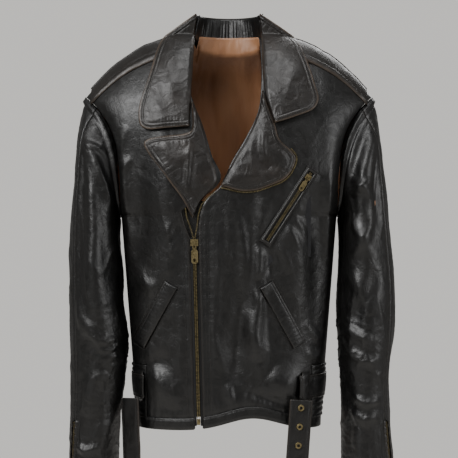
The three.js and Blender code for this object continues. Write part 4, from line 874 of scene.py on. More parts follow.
def turned(name, fold, edge, lift, columns, rows, seams, creases, seed, cad, body, curl=0.0):
    """A folded-back leaf or lapel between its roll line and its cut edge; gives its face."""
    inner_line, outer_line = line(fold), line(edge)
    u = np.linspace(0, 1, columns + 1)[None, :, None]
    f = np.linspace(0, 1, rows + 1)
    p = lerp(inner_line(f)[:, None], outer_line(f)[:, None], u)
    x, z = p[..., 0], p[..., 1]
    ends = np.concatenate([inner_line(0.0)[None], outer_line(np.linspace(0, 1, 90)), inner_line(1.0)[None]])

    def height(x, z, u):
        q = np.stack([x, 0 * x, z], -1)
        d, share = off_line(x, z, ends)
        d = np.abs(d)
        body_rise = lift(u) + folds(x, z, creases) * ease(d, 3, 14)
        body_rise = (
            body_rise + (1.1 * waves(q, 70, seed, 2) + 0.5 * crumple(q, 42, seed + 1)) * ease(d, 2, 16)
        )
        for seam in seams:
            body_rise = body_rise - 0.75 * np.exp(-(((d - seam) / 1.1) ** 2))
        padded = (
            0.8 * np.exp(-(((d - sum(seams) / len(seams)) / 2.2) ** 2))
            + 0.5 * pucker(np.abs(d - seams[-1]), share * 400, 9, 7)
        )
        roll = -5.0 * np.clip(1 - u / 0.1, 0, 1) ** 2
        lifted = curl * np.exp(-((d / 9) ** 2)) * np.sin(share * 21 + 1)
        return body_rise + padded + roll + lifted + LEATHER

    rise = height(x, z, u[..., 0] + 0 * x)
    plain = lift(u[..., 0] + 0 * x)
    y = np.minimum(front_y(x, z, -plain), -plain) - np.clip(front_height(x, z), 0, 5) - (rise - plain)
    d, share = off_line(x, z, ends)
    rub = (
        0.95 * np.exp(-((d / 3.0) ** 2)) + 0.55 * np.clip(1 - u[..., 0] / 0.07, 0, 1)
        + 0.25 * waves(np.stack([x, y, z], -1), 70, seed + 3, 2)
    )
    face = np.stack([x, y, z], -1)
    piece = skin(name, face, LEATHER + 0.4, collar_leather, body, np.clip(rub, 0, 1), rim_wear=1.0)
    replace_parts(piece, cad)
    lines = []
    normal = np.cross(np.gradient(face, axis=1), np.gradient(face, axis=0))
    normal /= np.linalg.norm(normal, axis=2, keepdims=True) + 1e-9
    normal *= -np.sign(np.mean(normal[..., 1]))
    for seam in seams:
        wide = np.linalg.norm(outer_line(f) - inner_line(f), axis=1)
        column = np.clip((1 - seam / np.maximum(wide, seam * 1.2)) * columns, 0, columns)
        low = np.floor(column).astype(int).clip(0, columns - 1)
        part = (column - low)[:, None]
        rows_at = np.arange(rows + 1)
        p = lerp(face[rows_at, low], face[rows_at, low + 1], part)
        n = lerp(normal[rows_at, low], normal[rows_at, low + 1], part)
        trim = slice(int(rows * seam / 150), rows + 1 - int(rows * seam / 150))
        lines.append((p[trim] + n[trim] * 0.2, n[trim]))
    row(name + "_stitches", lines, stitch_tree, STITCH, black_thread, body)
    return face


leaf_lift = lambda u: 5 + 3 * np.sin(np.pi * u)
lapel_lift = lambda u: 0.8 + 5 * np.sin(np.pi * u)
turned(
    "right_collar_turned", [(-55, 44), (-59, 5), (-62, -67), (-63, -105), (-66, -153)],
    [
        (-59, 44), (-98, 16), (-113, 3), (-134, -67), (-150, -126), (-146, -152), (-134, -158),
        (-100, -156), (-68, -154)
    ],
    leaf_lift, 60, 130, (4.0, 9.0),
    [
        ([(-110, -30), (-96, -80), (-84, -130)], 10, 1.8, 0.5),
        ([(-76, -10), (-82, -60), (-100, -110)], 12, 1.6, 0.5)
    ],
    81, "right_collar_leaf", "right_collar",
)
turned(
    "left_collar_turned", [(52, 44), (55, 5), (57, -67), (62, -108), (76, -147)],
    [
        (56, 44), (100, 14), (113, 3), (130, -35), (143, -79), (149, -107), (141, -123), (110, -137),
        (78, -148)
    ],
    leaf_lift, 60, 130, (4.0, 9.0),
    [([(92, 0), (84, -50), (86, -110)], 12, 1.8, 0.5), ([(120, -40), (104, -80), (92, -120)], 10, 1.6, 0.5)],
    91, "left_collar_leaf", "left_collar",
)

# ---------------------------------------------------------------- lapels
# Each lapel is the front itself, folded back and faced with a second hide. The left one
# carries the loose half of the zip along its lower edge.
turned(
    "right_lapel_turned",
    [(-60.5, -113), (-47, -144), (-29, -202), (-18, -246), (-26, -257), (-47, -280), (-58, -303)],
    [
        (-62, -116), (-64, -163), (-100, -169), (-134, -175), (-141, -182), (-102, -240), (-76, -276),
        (-61, -305)
    ],
    lapel_lift, 60, 150, (4.0, 8.5),
    [
        ([(-62, -180), (-66, -230), (-70, -268)], 5, 2.2, 1.2),
        ([(-100, -190), (-84, -200), (-60, -196)], 8, 1.3, 0.5),
        ([(-90, -215), (-75, -205), (-66, -190)], 6, 1.0, 0.6),
    ],
    101, "right_lapel", "right_lapel_flap",
)
left_lapel_edge = [
    (57, -95), (62, -112), (76, -150), (83, -175), (104, -196), (110, -207), (101, -231),
    (89, -243), (68, -252), (43, -260), (20, -261), (-3, -256), (-12, -254),
]
lapel_face = turned(
    "left_lapel_turned", [(55, -94), (49, -128), (27, -175), (5, -213), (-12, -248)], left_lapel_edge,
    lapel_lift, 60, 150, (4.0, 8.0),
    [
        ([(60, -158), (58, -182), (61, -212)], 6, 3.0, 0.9),
        ([(40, -190), (60, -215), (84, -222)], 12, -2.6, 0.3),
        ([(72, -160), (88, -190), (92, -214)], 8, 2.2, 0.6),
        ([(10, -232), (40, -236), (70, -230)], 7, 1.6, 0.6),
    ],
    111, "left_lapel", "left_lapel_flap", curl=0.9,
)

# ---------------------------------------------------------------- zips
# Stamped brass teeth clenched on cotton tape. The brass has gone brown in its hollows
# and stays bright where it is rubbed.


def antique_brass():
    look, tree = blank("aged_brass")
    place = put(tree, "ShaderNodeTexCoord").outputs["Object"]
    cloud = put(tree, "ShaderNodeTexNoise", Vector=place, Scale=260.0, Detail=5.0, Roughness=0.65)
    scratch = put(tree, "ShaderNodeTexNoise", Vector=place, Scale=1500.0, Detail=2.0)
    fade = put(tree, "ShaderNodeMapRange", Value=cloud.outputs["Fac"], i1=0.38, i2=0.62).outputs[0]
    tone = put(
        tree, "ShaderNodeMix", {"data_type": "RGBA"}, i0=fade, i6=linear("#6d6244"), i7=linear("#c2b184"),
    )
    gloss = put(tree, "ShaderNodeMapRange", Value=cloud.outputs["Fac"], i1=0.3, i2=0.7, i3=0.5, i4=0.24)
    mark = put(tree, "ShaderNodeBump", Strength=0.25, Distance=0.0002, Height=scratch.outputs["Fac"])
    bsdf = put(
        tree, "ShaderNodeBsdfPrincipled", Base_Color=tone.outputs[2], Roughness=gloss.outputs[0],
        Metallic=1.0, Normal=mark.outputs[0],
    )
    put(tree, "ShaderNodeOutputMaterial", Surface=bsdf.outputs[0])
    return look


def woven(name, dark, pale, pitch):
    """Black cotton: a plain weave that stays matt, with paler crowns."""
    look, tree = blank(name)
    place = put(tree, "ShaderNodeTexCoord").outputs["Object"]
    weft = put(
        tree, "ShaderNodeTexWave", {"bands_direction": "Z"}, Vector=place, Scale=1 / pitch, Distortion=0.6,
    )
    warp = put(
        tree, "ShaderNodeTexWave", {"bands_direction": "X"}, Vector=place, Scale=1 / pitch, Distortion=0.6,
    )
    both = put(
        tree, "ShaderNodeMath", {"operation": "MULTIPLY"}, i0=weft.outputs["Fac"], i1=warp.outputs["Fac"],
    )
    tone = put(
        tree, "ShaderNodeMix", {"data_type": "RGBA"}, i0=both.outputs[0], i6=linear(dark), i7=linear(pale),
    )
    bump = put(tree, "ShaderNodeBump", Strength=0.5, Distance=0.0004, Height=both.outputs[0])
    bsdf = put(
        tree, "ShaderNodeBsdfPrincipled", Base_Color=tone.outputs[2], Roughness=0.85,
        Normal=bump.outputs[0],
    )
    put(tree, "ShaderNodeOutputMaterial", Surface=bsdf.outputs[0])
    return look


brass = antique_brass()
zip_tape = woven("cotton_zip_tape", "#0d0d0e", "#262628", 0.0028)
TOOTH = {"Pitch": 2.3, "Long": 1.25, "Wide": 2.1, "High": 2.2}


def chain(name, points, level, body, pull=0.0):
    """Teeth along (x, z) points at a level behind the face of the front."""
    c = np.array(points, float)
    run = np.concatenate([[0], np.cumsum(np.linalg.norm(np.diff(c, axis=0), axis=1))])
    at = np.linspace(0, run[-1], int(run[-1] / 2.5))
    c = np.stack([np.interp(at, run, c[:, k]) for k in (0, 1)], -1)
    y = front_y(c[:, 0], c[:, 1], level) - pull
    p = np.stack([c[:, 0], y, c[:, 1]], -1)
    n = np.tile([0.0, -1.0, 0.0], (len(p), 1))
    return row(name, [(p, n)], tooth_tree, TOOTH, brass, body)


closed = np.linspace(-ZIP_TOP_DROP, -BODY_LENGTH + 19, 60)
right_run = [*zip(zip_x(closed) - 1.5, closed)][::-1] + [(-63, -324), (-70, -304), (-72, -290)]
left_run = (
    [*zip(zip_x(closed) + 1.5, closed)][::-1]
    + [(-52.5, -318), (-50.5, -300), (-45.5, -284), (-36, -272), (-24, -263)]
)
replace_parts(chain("right_teeth", right_run, 1.5, "jacket"), "right_zip_teeth")
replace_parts(chain("left_teeth", left_run, 0.8, "jacket", 0.6), "left_zip_teeth")
for node in ("right_zip_tape", "left_zip_tape"):
    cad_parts[node].data.materials[0] = zip_tape

low = line(left_lapel_edge)(np.linspace(0.40, 1.0, 90))
step = np.gradient(low, axis=0)
out = np.stack([step[:, 1], -step[:, 0]], -1) / np.linalg.norm(step, axis=1, keepdims=True)
out *= np.sign(-out[45, 1])
edge_row = lapel_face[:, -1]
place = low + out * 2.2
nearest = np.argmin(np.linalg.norm(edge_row[None, :, [0, 2]] - low[:, None], axis=2), axis=1)
depth = edge_row[nearest, 1] + 0.6
p = np.stack([place[:, 0], depth, place[:, 1]], -1)
piece = row(
    "lapel_teeth", [(p, np.tile([0.0, -1.0, 0.0], (90, 1)))], tooth_tree, TOOTH, brass, "left_lapel_flap",
)
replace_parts(piece, "left_lapel_teeth")

# The flap behind the zip keeps wind out; it is one layer of the same hide.
u = np.linspace(0, 1, 50)[None]
v = np.linspace(0, 1, 110)[:, None]
x = lerp(-79, 22, u) + 0 * v
z = lerp(-278.0, hem_z(x) + HEM_BAND + 0.5, v)
inset = lerp(LEATHER + 1.6, 8, ease(x, -79, -65))
y = front_y(x, z, inset) + 1.0 * waves(np.stack([x, 0 * x, z], -1), 60, 121)
y = np.maximum(y, front_y(x, z, LEATHER + 1.4))
piece = skin("zip_flap_leather", np.stack([x, y, z], -1), LEATHER, black_leather, "jacket")
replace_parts(piece, "zip_underlap")

for node in ("zip_retainer", "main_zip_slider", "main_zip_pull", "chest_zip_slider", "chest_zip_pull",
             "right_cuff_zip_slider", "right_cuff_zip_pull", "left_cuff_zip_slider", "left_cuff_zip_pull",
             "buckle_frame", "buckle_prong", "eyelet_1", "eyelet_2", "eyelet_3", "eyelet_4"):
    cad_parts[node].data.materials[0] = brass

# ---------------------------------------------------------------- hand pockets
# A folded welt stands in each slanted mouth, stitched round, with a cotton bag behind.
pocketing = woven("cotton_pocketing", "#141416", "#2c2c30", 0.0016)
for node in ("right_pocket_bag", "left_pocket_bag", "chest_pocket_bag"):
    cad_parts[node].data.materials[0] = pocketing


def welt_height(u, v):
    """A folded welt: full along its free edge, pinched by the seam on the other."""
    round_edge = 1 - np.clip((0.1 - u) / 0.1, 0, 1) ** 2 - np.clip((u - 0.9) / 0.1, 0, 1) ** 2
    slope = 1.2 * (1 - u) + 1.6 * np.sin(np.pi * u) ** 0.8
    groove = 0.9 * np.exp(-(((u - 0.84) / 0.035) ** 2))
    ends = 1 - np.clip((0.03 - v) / 0.03, 0, 1) ** 2 - np.clip((v - 0.97) / 0.03, 0, 1) ** 2
    return (slope - groove) * np.clip(round_edge, 0.1, 1) * np.clip(ends, 0.1, 1)


for name, side in (("right", -1), ("left", 1)):
    start = POCKET_START[name]
    u = np.linspace(0, 1, 31)[None]
    v = np.linspace(0, 1, 111)[:, None]
    x, z = pocket_at(side, start, v * POCKET_LONG, (u - 0.5) * POCKET_WIDE)
    rise = 2.4 + welt_height(u, v) + 0.25 * np.sin(v * 70) * np.sin(v * 31 + 1) * np.sin(np.pi * u)
    y = front_skin(x, z, 0.8) - rise
    wear_and_painted_sheen = 0.6 * np.exp(-((u / 0.06) ** 2)) + 0.5 * np.exp(-(((1 - u) / 0.06) ** 2)) + 0 * v
    piece = skin(f"{name}_welt_leather", np.stack([x, y, z], -1), 1.6, black_leather, "jacket", wear_and_painted_sheen)
    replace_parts(piece, f"{name}_pocket_welt")
    corners = [(-3, -14.5), (POCKET_LONG + 3, -14.5), (POCKET_LONG + 3, 14.5), (-3, 14.5), (-3, -14.5)]
    around = [pocket_at(side, start, a, b) for a, b in corners]
    stitch_on(f"{name}_welt_stitches", front_skin, [around], "jacket")

# ---------------------------------------------------------------- chest pocket
# Two narrow piped welts close over a brass zip, which ends under a bar at each end.
CHEST_LOW = np.array([62.0, -344.0])
CHEST_LONG = 136.0
CHEST_RUN = np.array([math.cos(math.radians(57)), math.sin(math.radians(57))])
CHEST_HIGH = CHEST_LOW + CHEST_LONG * CHEST_RUN
GAUGE = 0.75
SLOT_HALF = 6.4 * GAUGE + 0.45
BULGE_GAP = 2.4


def zip_seat(origin, up, outward):
    """Turns a zip's own x, y, z (z up the zip, -y out of the leather) into place."""
    along = up / np.linalg.norm(up)
    face = outward - along * (outward @ along)
    face /= np.linalg.norm(face)
    turn = np.stack([np.cross(-face, along), -face, along])
    return lambda q: origin + q @ turn, turn


low = np.array([CHEST_LOW[0], front_y(*CHEST_LOW), CHEST_LOW[1]])
high = np.array([CHEST_HIGH[0], front_y(*CHEST_HIGH), CHEST_HIGH[1]])
near, far = ([CHEST_LOW[0] + CHEST_LONG / 2 * CHEST_RUN[0] + k * CHEST_RUN[1],
              CHEST_LOW[1] + CHEST_LONG / 2 * CHEST_RUN[1] - k * CHEST_RUN[0]] for k in (-8, 8))
across = np.array([far[0] - near[0], front_y(*far) - front_y(*near), far[1] - near[1]])
outward = np.cross(high - low, across)
outward *= -np.sign(outward[1])
seat, turn = zip_seat(high, high - low, outward)
length = np.linalg.norm(high - low)
loop = []
wall = SLOT_HALF + 4.6
for a, b in (((-1, 0), (1, 0)), ((1, 0), (1, 1)), ((1, 1), (-1, 1)), ((-1, 1), (-1, 0))):
    steps = 14 if a[1] == b[1] else 90
    for k in range(steps):
        loop.append([lerp(a[0], b[0], k / steps), lerp(a[1], b[1], k / steps)])
loop = np.array(loop)
v = np.linspace(0, 1, 11)[:, None]
inner_x, inner_z = loop[:, 0] * SLOT_HALF, -0.4 - loop[:, 1] * (length - 0.8)
outer_x, outer_z = loop[:, 0] * wall, 5 - loop[:, 1] * (length + 10)
lx, lz = lerp(inner_x, outer_x, v), lerp(inner_z, outer_z, v)
ly = (
    -BULGE_GAP - 1.0 - 1.1 * np.sin(np.pi * np.clip(v * 1.15, 0, 1)) ** 0.7
    + 0.9 * np.exp(-(((v - 0.8) / 0.08) ** 2)) + 0 * lx
)
welt = seat(np.stack([lx, ly, lz], -1))
centre = seat(np.array([0, 40.0, -length / 2]))
piece = skin(
    "chest_welt_leather", welt, 1.4, black_leather, "jacket",
    0.6 * np.exp(-(((v - 0.4) / 0.2) ** 2)) + 0 * lx, ring=True, core=(centre[0], centre[1]),
)
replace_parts(piece, "chest_pocket_welt")
rows_at = []
for share in (0.35, 1.1):
    sx, sz = lerp(inner_x, outer_x, share), lerp(inner_z, outer_z, share)
    q = np.stack([sx, 0 * sx, sz], -1)
    if share > 1:
        world = seat(q)
        world[:, 1] = front_skin(world[:, 0], world[:, 2]) - 0.2
    else:
        q[:, 1] = -BULGE_GAP - 2.15
        world = seat(q)
    rows_at.append((np.concatenate([world, world[:1]]), np.tile(-turn[1], (len(world) + 1, 1))))
row("chest_welt_stitches", rows_at, stitch_tree, STITCH, black_thread, "jacket")


def closed_chain(name, seat, turn, length, level, tape_out, body, cad):
    """Both halves of a short zip with its tape, as one row of teeth."""
    lines = []
    for x in (-1.35, 1.35):
        z = np.linspace(-1.5, -length + 1.5, 60)
        q = np.stack([0 * z + x, 0 * z + level, z], -1)
        lines.append((seat(q), np.tile(-turn[1], (60, 1))))
    teeth = row(name, lines, tooth_tree, {"Pitch": 1.9, "Long": 1.0, "Wide": 1.9, "High": 1.7}, brass, body)
    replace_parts(teeth, cad)
    for k, side in enumerate((-1, 1)):
        u = np.linspace(2.0, tape_out, 5) * side
        z = np.linspace(0, -length, 40)[:, None]
        strip = seat(np.stack([u[None] + 0 * z, 0 * u[None] + level + 0.3 + 0 * z, z + 0 * u[None]], -1))
        tape = skin(f"{name}_tape_{k + 1}", strip, 0.6, zip_tape, body, rim_wear=0)


closed_chain(
    "chest_teeth", lambda q: seat(q + [0, 0, -0.8]), turn, length - 1.6, -BULGE_GAP, SLOT_HALF - 0.4,
    "jacket", "chest_zip_chain",
)

# ---------------------------------------------------------------- shoulder straps
# A lined strap is sewn into each sleeve head and runs in under the collar.


def strap_point(side, u, v, lift):
    x = side * lerp(104, SHOULDER_HALF - 9, v)
    narrow = lerp(1, 0.8, v)
    front = np.maximum(0, 1 - u * 1.5) ** 2 * 36 * narrow
    reach = front + np.maximum(0, u * 3 - 2) ** 2 * 16
    z = shoulder_z(x) + lift - reach
    y = np.where(u < 0.6, front_y(x, z, -lift), back_y(x, z, -lift))
    y = np.where(reach < 1e-6, 0, y)
    return np.stack([x + 0 * u, y, z], -1)


for name, side in (("right", -1), ("left", 1)):
    u = np.linspace(0, 1, 61)[None]
    v = np.linspace(0, 1, 71)[:, None]
    edge = np.minimum(u, 0.9) * 42
    puff = (
        2.6 * (1 - np.clip(1 - u / 0.06, 0, 1) ** 2) - 0.8 * np.exp(-(((edge - 5) / 1.3) ** 2))
        + 0.6 * np.exp(-(((edge - 2.5) / 1.6) ** 2))
    )
    puff = puff + 0.8 * waves(np.stack([v * 140 + 0 * u, u * 50 + 0 * v, 0 * u * v], -1), 34, 131 + side, 2)
    face = strap_point(side, u, v, 1.4 + np.clip(puff, 0.4, 4))
    # the strap wraps over the seam, so its outward side is judged from below it
    piece = skin(
        f"{name}_strap_leather", face, 2.0, collar_leather, "jacket",
        0.7 * np.exp(-((u / 0.04) ** 2)) + 0 * v, core=(side * 170, 30),
    )
    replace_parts(piece, f"{name}_epaulet")
    lines = []
    for at in (0.055, 0.125):
        p = strap_point(side, np.full(70, at), np.linspace(0.02, 0.98, 70), 3.6)
        lines.append((p, np.tile([0.0, -0.9, 0.43], (70, 1))))
    row(f"{name}_strap_stitches", lines, stitch_tree, STITCH, black_thread, "jacket")

# ---------------------------------------------------------------- sleeves
# Each sleeve is a front and a back hide sewn into a bent tube. It breaks into folds at
# the armhole and the elbow, and the outer seam opens in a zip at the cuff.
RIGHT_STATIONS = [
    ((255, -146), (188, -319), 66, 4), ((264, -225), (187, -350), 73, 8), ((270, -326), (181, -385), 72, 12),
    ((270, -427), (178, -455), 68, 18), ((269, -519), (171, -519), 64, 25),
    ((267, -600), (178.5, -596), 57, 30),
    ((268, -645), (184.5, -642), 53.5, 32.5), ((270, -695), (188, -693.5), 50, 35),
    ((272, -745), (191, -745), 46.5, 37.5),
]
LEFT_STATIONS = [
    ((256, -146), (189, -315), 66, 4), ((266, -235), (189, -340), 73, 8), ((275, -335), (186, -385), 72, 12),
    ((282, -430), (185, -455), 68, 18), ((279, -515), (186, -520), 64, 25),
    ((272, -592), (190, -590), 57, 30),
    ((272, -645), (190.5, -642), 53.5, 32.5), ((277, -695), (189.5, -693.5), 50, 35),
    ((282, -745), (188.5, -745), 46.5, 37.5),
]
SEAM_OUT, SEAM_IN = 38.0, 205.0
SLIT_TOP = 7 / 9


def sleeve_grid(side, stations, s, angle, inset=0.0):
    """Points of the plain sleeve: rows for s from armhole to cuff, columns for angles."""
    c, n = np.cos(np.radians(angle)), np.sin(np.radians(angle))
    z = -199 + (101 - inset) * c
    half = half_width(z)
    depth = np.where(n > 0, front_y(half, z, inset), back_y(half, z, inset))
    head = np.stack([side * (half + 1.9), np.where(np.abs(n) < 1e-6, 0, depth), z], -1)
    rings = [head]
    for outer, inner, deep, forward in stations:
        reach = np.array(outer) - np.array(inner)
        size = np.linalg.norm(reach)
        k = (0.5 * size - inset) / size * c
        x = (outer[0] + inner[0]) / 2 + reach[0] * k
        up = (outer[1] + inner[1]) / 2 + reach[1] * k
        rings.append(np.stack([side * x, -forward - (deep - inset) * n, up], -1))
    return spline(np.array(rings), s)


sleeve_folds = {
    "right": [
        ([(-243, -172), (-224, -204), (-207, -250), (-199, -309), (-190, -380)], 9, 6.5, 1.0),
        ([(-240, -178), (-222, -186), (-202, -197)], 7, 4.0, 0.8),
        ([(-236, -140), (-220, -152), (-206, -168)], 6, 3.0, 0.8),
        ([(-250, -150), (-246, -230), (-240, -330), (-246, -430)], 15, -5, 0.4),
        ([(-226, -240), (-226, -330), (-220, -420), (-214, -500)], 17, 5.5, 0.5),
        ([(-262, -420), (-245, -470), (-222, -500), (-196, -512)], 12, 3.6, 0.7),
        ([(-186, -505), (-204, -514), (-220, -512)], 5, 2.4, 0.7),
        ([(-184, -518), (-200, -527), (-214, -527)], 4, 2.2, 0.7),
        ([(-186, -532), (-198, -541), (-210, -545)], 5, 2.0, 0.7),
        ([(-200, -560), (-226, -590), (-238, -640)], 15, 3.6, 0.5),
        ([(-256, -560), (-250, -620), (-246, -690)], 14, -4, 0.4),
        ([(-205, -640), (-212, -680), (-222, -720)], 11, 3.2, 0.6),
        ([(-262, -680), (-240, -692), (-214, -684)], 7, 3.0, 0.7),
        ([(-258, -704), (-236, -714), (-206, -708)], 6, 2.6, 0.7),
    ],
    "left": [
        ([(236, -100), (222, -140), (204, -190), (190, -250)], 8, 5.0, -0.9),
        ([(246, -150), (232, -200), (218, -250), (208, -300)], 13, 5.5, -0.5),
        ([(208, -236), (226, -252), (240, -272)], 7, 4.0, 0.8),
        ([(240, -240), (222, -262), (206, -270)], 7, 3.6, 0.8),
        ([(250, -170), (252, -260), (250, -340)], 12, -4.5, 0.4),
        ([(206, -300), (224, -330), (240, -372)], 12, 4.0, 0.7),
        ([(246, -300), (226, -345), (206, -372)], 10, 3.4, 0.7),
        ([(200, -390), (224, -420), (240, -470)], 14, 4.0, 0.6),
        ([(252, -390), (232, -440), (212, -480)], 12, -4.0, 0.5),
        ([(196, -480), (216, -500), (240, -506)], 9, 3.4, 0.7),
        ([(200, -520), (222, -540), (252, -544)], 10, 3.0, 0.7),
        ([(206, -600), (228, -612), (250, -606)], 7, 3.2, 0.7),
        ([(204, -625), (224, -640), (246, -632)], 9, 2.8, 0.7),
        ([(214, -650), (222, -690), (226, -735)], 12, 3.6, 0.5),
        ([(200, -560), (204, -620), (202, -700)], 9, -3.0, 0.5),
    ],
}


def sleeve_skin(name, side, stations, s, angle):
    """The creased face of a sleeve and its normals."""
    plain = sleeve_grid(side, stations, s, angle)
    dense = np.gradient(plain, axis=1)
    normal = np.cross(dense, np.gradient(plain, axis=0))
    normal /= np.linalg.norm(normal, axis=2, keepdims=True) + 1e-9
    middle = sleeve_grid(side, stations, s, np.linspace(0, 360, 24, endpoint=False)).mean(axis=1)[:, None]
    normal *= np.sign(np.sum(normal * (plain - middle)))
    x, z = plain[..., 0], plain[..., 2]
    frontal = np.clip(-normal[..., 1] * 1.4, 0, 1)
    rise = 1.25 * folds(x, z, sleeve_folds[name]) * frontal
    rise = (
        rise + 2.4 * waves(plain, 85, 141 + side, 2, (1.1, 1, 0.4))
        + 1.3 * crumple(plain, 80, 151 + side, (1.1, 1, 0.5))
    )
    elbow = np.exp(-(((z + 525) / 70) ** 2)) + 0.3 * np.exp(-(((z + 700) / 45) ** 2))
    inner_side = np.clip(0.5 + 0.5 * np.cos(np.radians(angle - 180)), 0, 1)
    rise = rise + 2.2 * crumple(plain, 34, 161 + side, (0.6, 0.6, 1.5)) * elbow * inner_side
    rise = rise + 0.3 * crumple(plain, 22, 171 + side)
    for seam in (SEAM_OUT, SEAM_IN):
        gap = np.abs((angle - seam + 180) % 360 - 180)[None] * 1.05
        rise = (
            rise * lerp(0.1, 1, ease(gap, 2, 18)) - 1.3 * np.exp(-((gap / 1.8) ** 2))
            + 0.5 * pucker(gap, s[:, None] * 640, 13, 9)
        )
    # the sleeve head: gathered into the armhole and swelling just past it
    head = s[:, None] * 640
    rise = (
        rise * ease(head, 2, 55) + 2.8 * np.exp(-(((head - 11) / 6) ** 2))
        - 1.2 * np.exp(-(((head - 22) / 4) ** 2))
    )
    rise = rise + 0.5 * pucker(head, np.radians(angle)[None] * 75 + 0 * head, 19, 20)
    cuff = (1 - s[:, None]) * 640
    rise = rise - 0.9 * np.exp(-(((cuff - 20) / 2) ** 2)) + 0.8 * np.exp(-(((cuff - 8) / 8) ** 2))
    return plain + normal * rise[..., None], normal


def bend_with_arm(piece):
    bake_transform(piece)


for name, side, stations in (("right", -1, RIGHT_STATIONS), ("left", 1, LEFT_STATIONS)):
    s = np.concatenate([np.linspace(0, 0.12, 40, endpoint=False), np.linspace(0.12, 1, 210)])
    slit = 1.25 * ease(s, SLIT_TOP - 0.004, SLIT_TOP + 0.004)[:, None] * 5.0
    for part, start, end in (("front", SEAM_OUT, SEAM_IN), ("back", SEAM_IN, SEAM_OUT + 360)):
        # the two hides meet in the seam, and part along the cuff's zip
        angle = np.linspace(start + 0.3, end - 0.3, 96)
        face, normal = sleeve_skin(name, side, stations, s, angle)
        u = np.linspace(0, 1, 96)[None]
        near = u if part == "front" else 1 - u
        shift = slit * np.clip(1 - near * 7, 0, 1)
        sideways = np.gradient(face, axis=1)
        sideways /= np.linalg.norm(sideways, axis=2, keepdims=True) + 1e-9
        face = face + sideways * (shift * (1 if part == "front" else -1))[..., None]
        middle = sleeve_grid(
            side, stations, np.array([0.5]), np.linspace(0, 360, 24, endpoint=False),
        ).mean(axis=(0, 1))
        wear_and_painted_sheen = (
            0.5 * np.exp(-((near * 160 / 4) ** 2)) * (s[:, None] > SLIT_TOP)
            + 0.5 * ease(s[:, None], 0.99, 1)
        )
        # on the left sleeve a thin paler strip along the whole outer seam is painted highlight, where that
        # seam catches the light
        if name == "left":
            wear_and_painted_sheen = wear_and_painted_sheen + 0.3 * np.exp(-((near * 160 / 5) ** 2))
        piece = skin(
            f"{name}_sleeve_{part}_leather", face, LEATHER, black_leather, None, wear_and_painted_sheen,
            core=(middle[0], middle[1]),
        )
        bend_with_arm(piece)
        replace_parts(piece, f"{name}_sleeve_{part}")
        lines = []
        column = 3 if part == "front" else 92
        lines.append((face[20:, column] + normal[20:, column] * 0.2, normal[20:, column]))
        ring = 243
        lines.append((face[ring] + normal[ring] * 0.2, normal[ring]))
        bend_with_arm(
            row(f"{name}_sleeve_{part}_stitches", lines, stitch_tree, STITCH, black_thread, None),
        )
    angle = np.linspace(0, 360, 90, endpoint=False)
    s = np.linspace(0.02, 0.985, 120)
    inset = lerp(6.5, 2.8, ease(s, 0.9, 0.98))
    cloth = np.stack([sleeve_grid(side, stations, s[k : k + 1], angle, inset[k])[0] for k in range(len(s))])
    centre = cloth.mean(axis=1, keepdims=True)
    loose = np.clip(2.0 * waves(cloth, 50, 181 + side, 2, (1, 1, 0.3)) + 1.5, 0, 5)
    loose = loose * ease(s, 0.02, 0.08)[:, None] * ease(1 - s, 0.02, 0.1)[:, None]
    toward = centre - cloth
    toward /= np.linalg.norm(toward, axis=2, keepdims=True)
    cloth = cloth + toward * loose[..., None]
    middle = cloth.mean(axis=(0, 1))
    piece = skin(
        f"{name}_sleeve_satin", cloth, SATIN, satin, None, ring=True, core=(middle[0], middle[1]), rim_wear=0,
    )
    bend_with_arm(piece)
    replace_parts(piece, f"{name}_sleeve_lining")
    # the cuff zip lies in the open end of the outer seam
    at = lambda where, inset: sleeve_grid(
        side, stations, np.array([where]), np.array([SEAM_OUT]), inset
    )[0, 0]
    top, foot = at(SLIT_TOP, 0.8), at(1.0, 0.8)
    mid = (SLIT_TOP + 1) / 2
    up = top - foot
    long = np.linalg.norm(up) - 5
    seat_cuff, turn_cuff = zip_seat(top - up / np.linalg.norm(up) * 2, up, at(mid, 0.0) - at(mid, 10.0))
    closed_chain(
        f"{name}_cuff_teeth", seat_cuff, turn_cuff, long, 0.0, SLOT_HALF - 0.6, f"{name}_sleeve",
        f"{name}_cuff_zip_chain",
    )

# ---------------------------------------------------------------- belt
# A belt of two hides is sewn round the back, held by a loop at each side, and its ends
# hang free: one with the buckle, one with brass eyelets.
BELT_DROP = 567.0
BELT_HEIGHT = 38.0
STRAP_HALF = 19.0
STRAP_THICK = 2.8
EYELETS = (12, 43, 74, 105)
BELT_END = {"right": 143.0, "left": 118.0}


def belt_stand(x, end):
    return 0.8 + 8 * ease(end + 26 - np.abs(x), 0, 26)


v = np.linspace(0, 1, 21)[:, None]
u = np.linspace(0, 1, 60)
z = lerp(-BELT_DROP, -BELT_DROP - BELT_HEIGHT, v)
wide = half_width(z) + 0.8 + 2.6
parts = []
for side, end in ((-1, BELT_END["right"]), (1, BELT_END["left"])):
    x = side * lerp(end, wide, 1 - (1 - u[None]) ** 2.2)
    y = front_y(x, z + 0 * x, 0.0)
    y = np.where(u[None] == 1, 0, front_y(x / (wide / half_width(z)), z + 0 * x) - belt_stand(x, end) - 2.6)
    parts.append(np.stack([x, y, z + 0 * x], -1))
t = np.linspace(-1, 1, 142)[1:-1][None]
x = np.sign(t) * wide * (1 - (1 - np.abs(t)) ** 2.2)
y = back_y(x / (wide / half_width(z)), z + 0 * x) + 3.4
behind = np.stack([x, y, z + 0 * x], -1)
belt = np.concatenate([parts[0], behind, parts[1][:, ::-1]], 1)
press = (
    0.8 * np.exp(-(((v - 0.1) / 0.035) ** 2)) + 0.8 * np.exp(-(((v - 0.9) / 0.035) ** 2))
    - 0.7 * np.sin(np.pi * v) ** 0.5
)
away = belt * [1, 1, 0]
away = away / (np.linalg.norm(away, axis=2, keepdims=True) + 1e-9)
belt = belt - away * press[..., None]
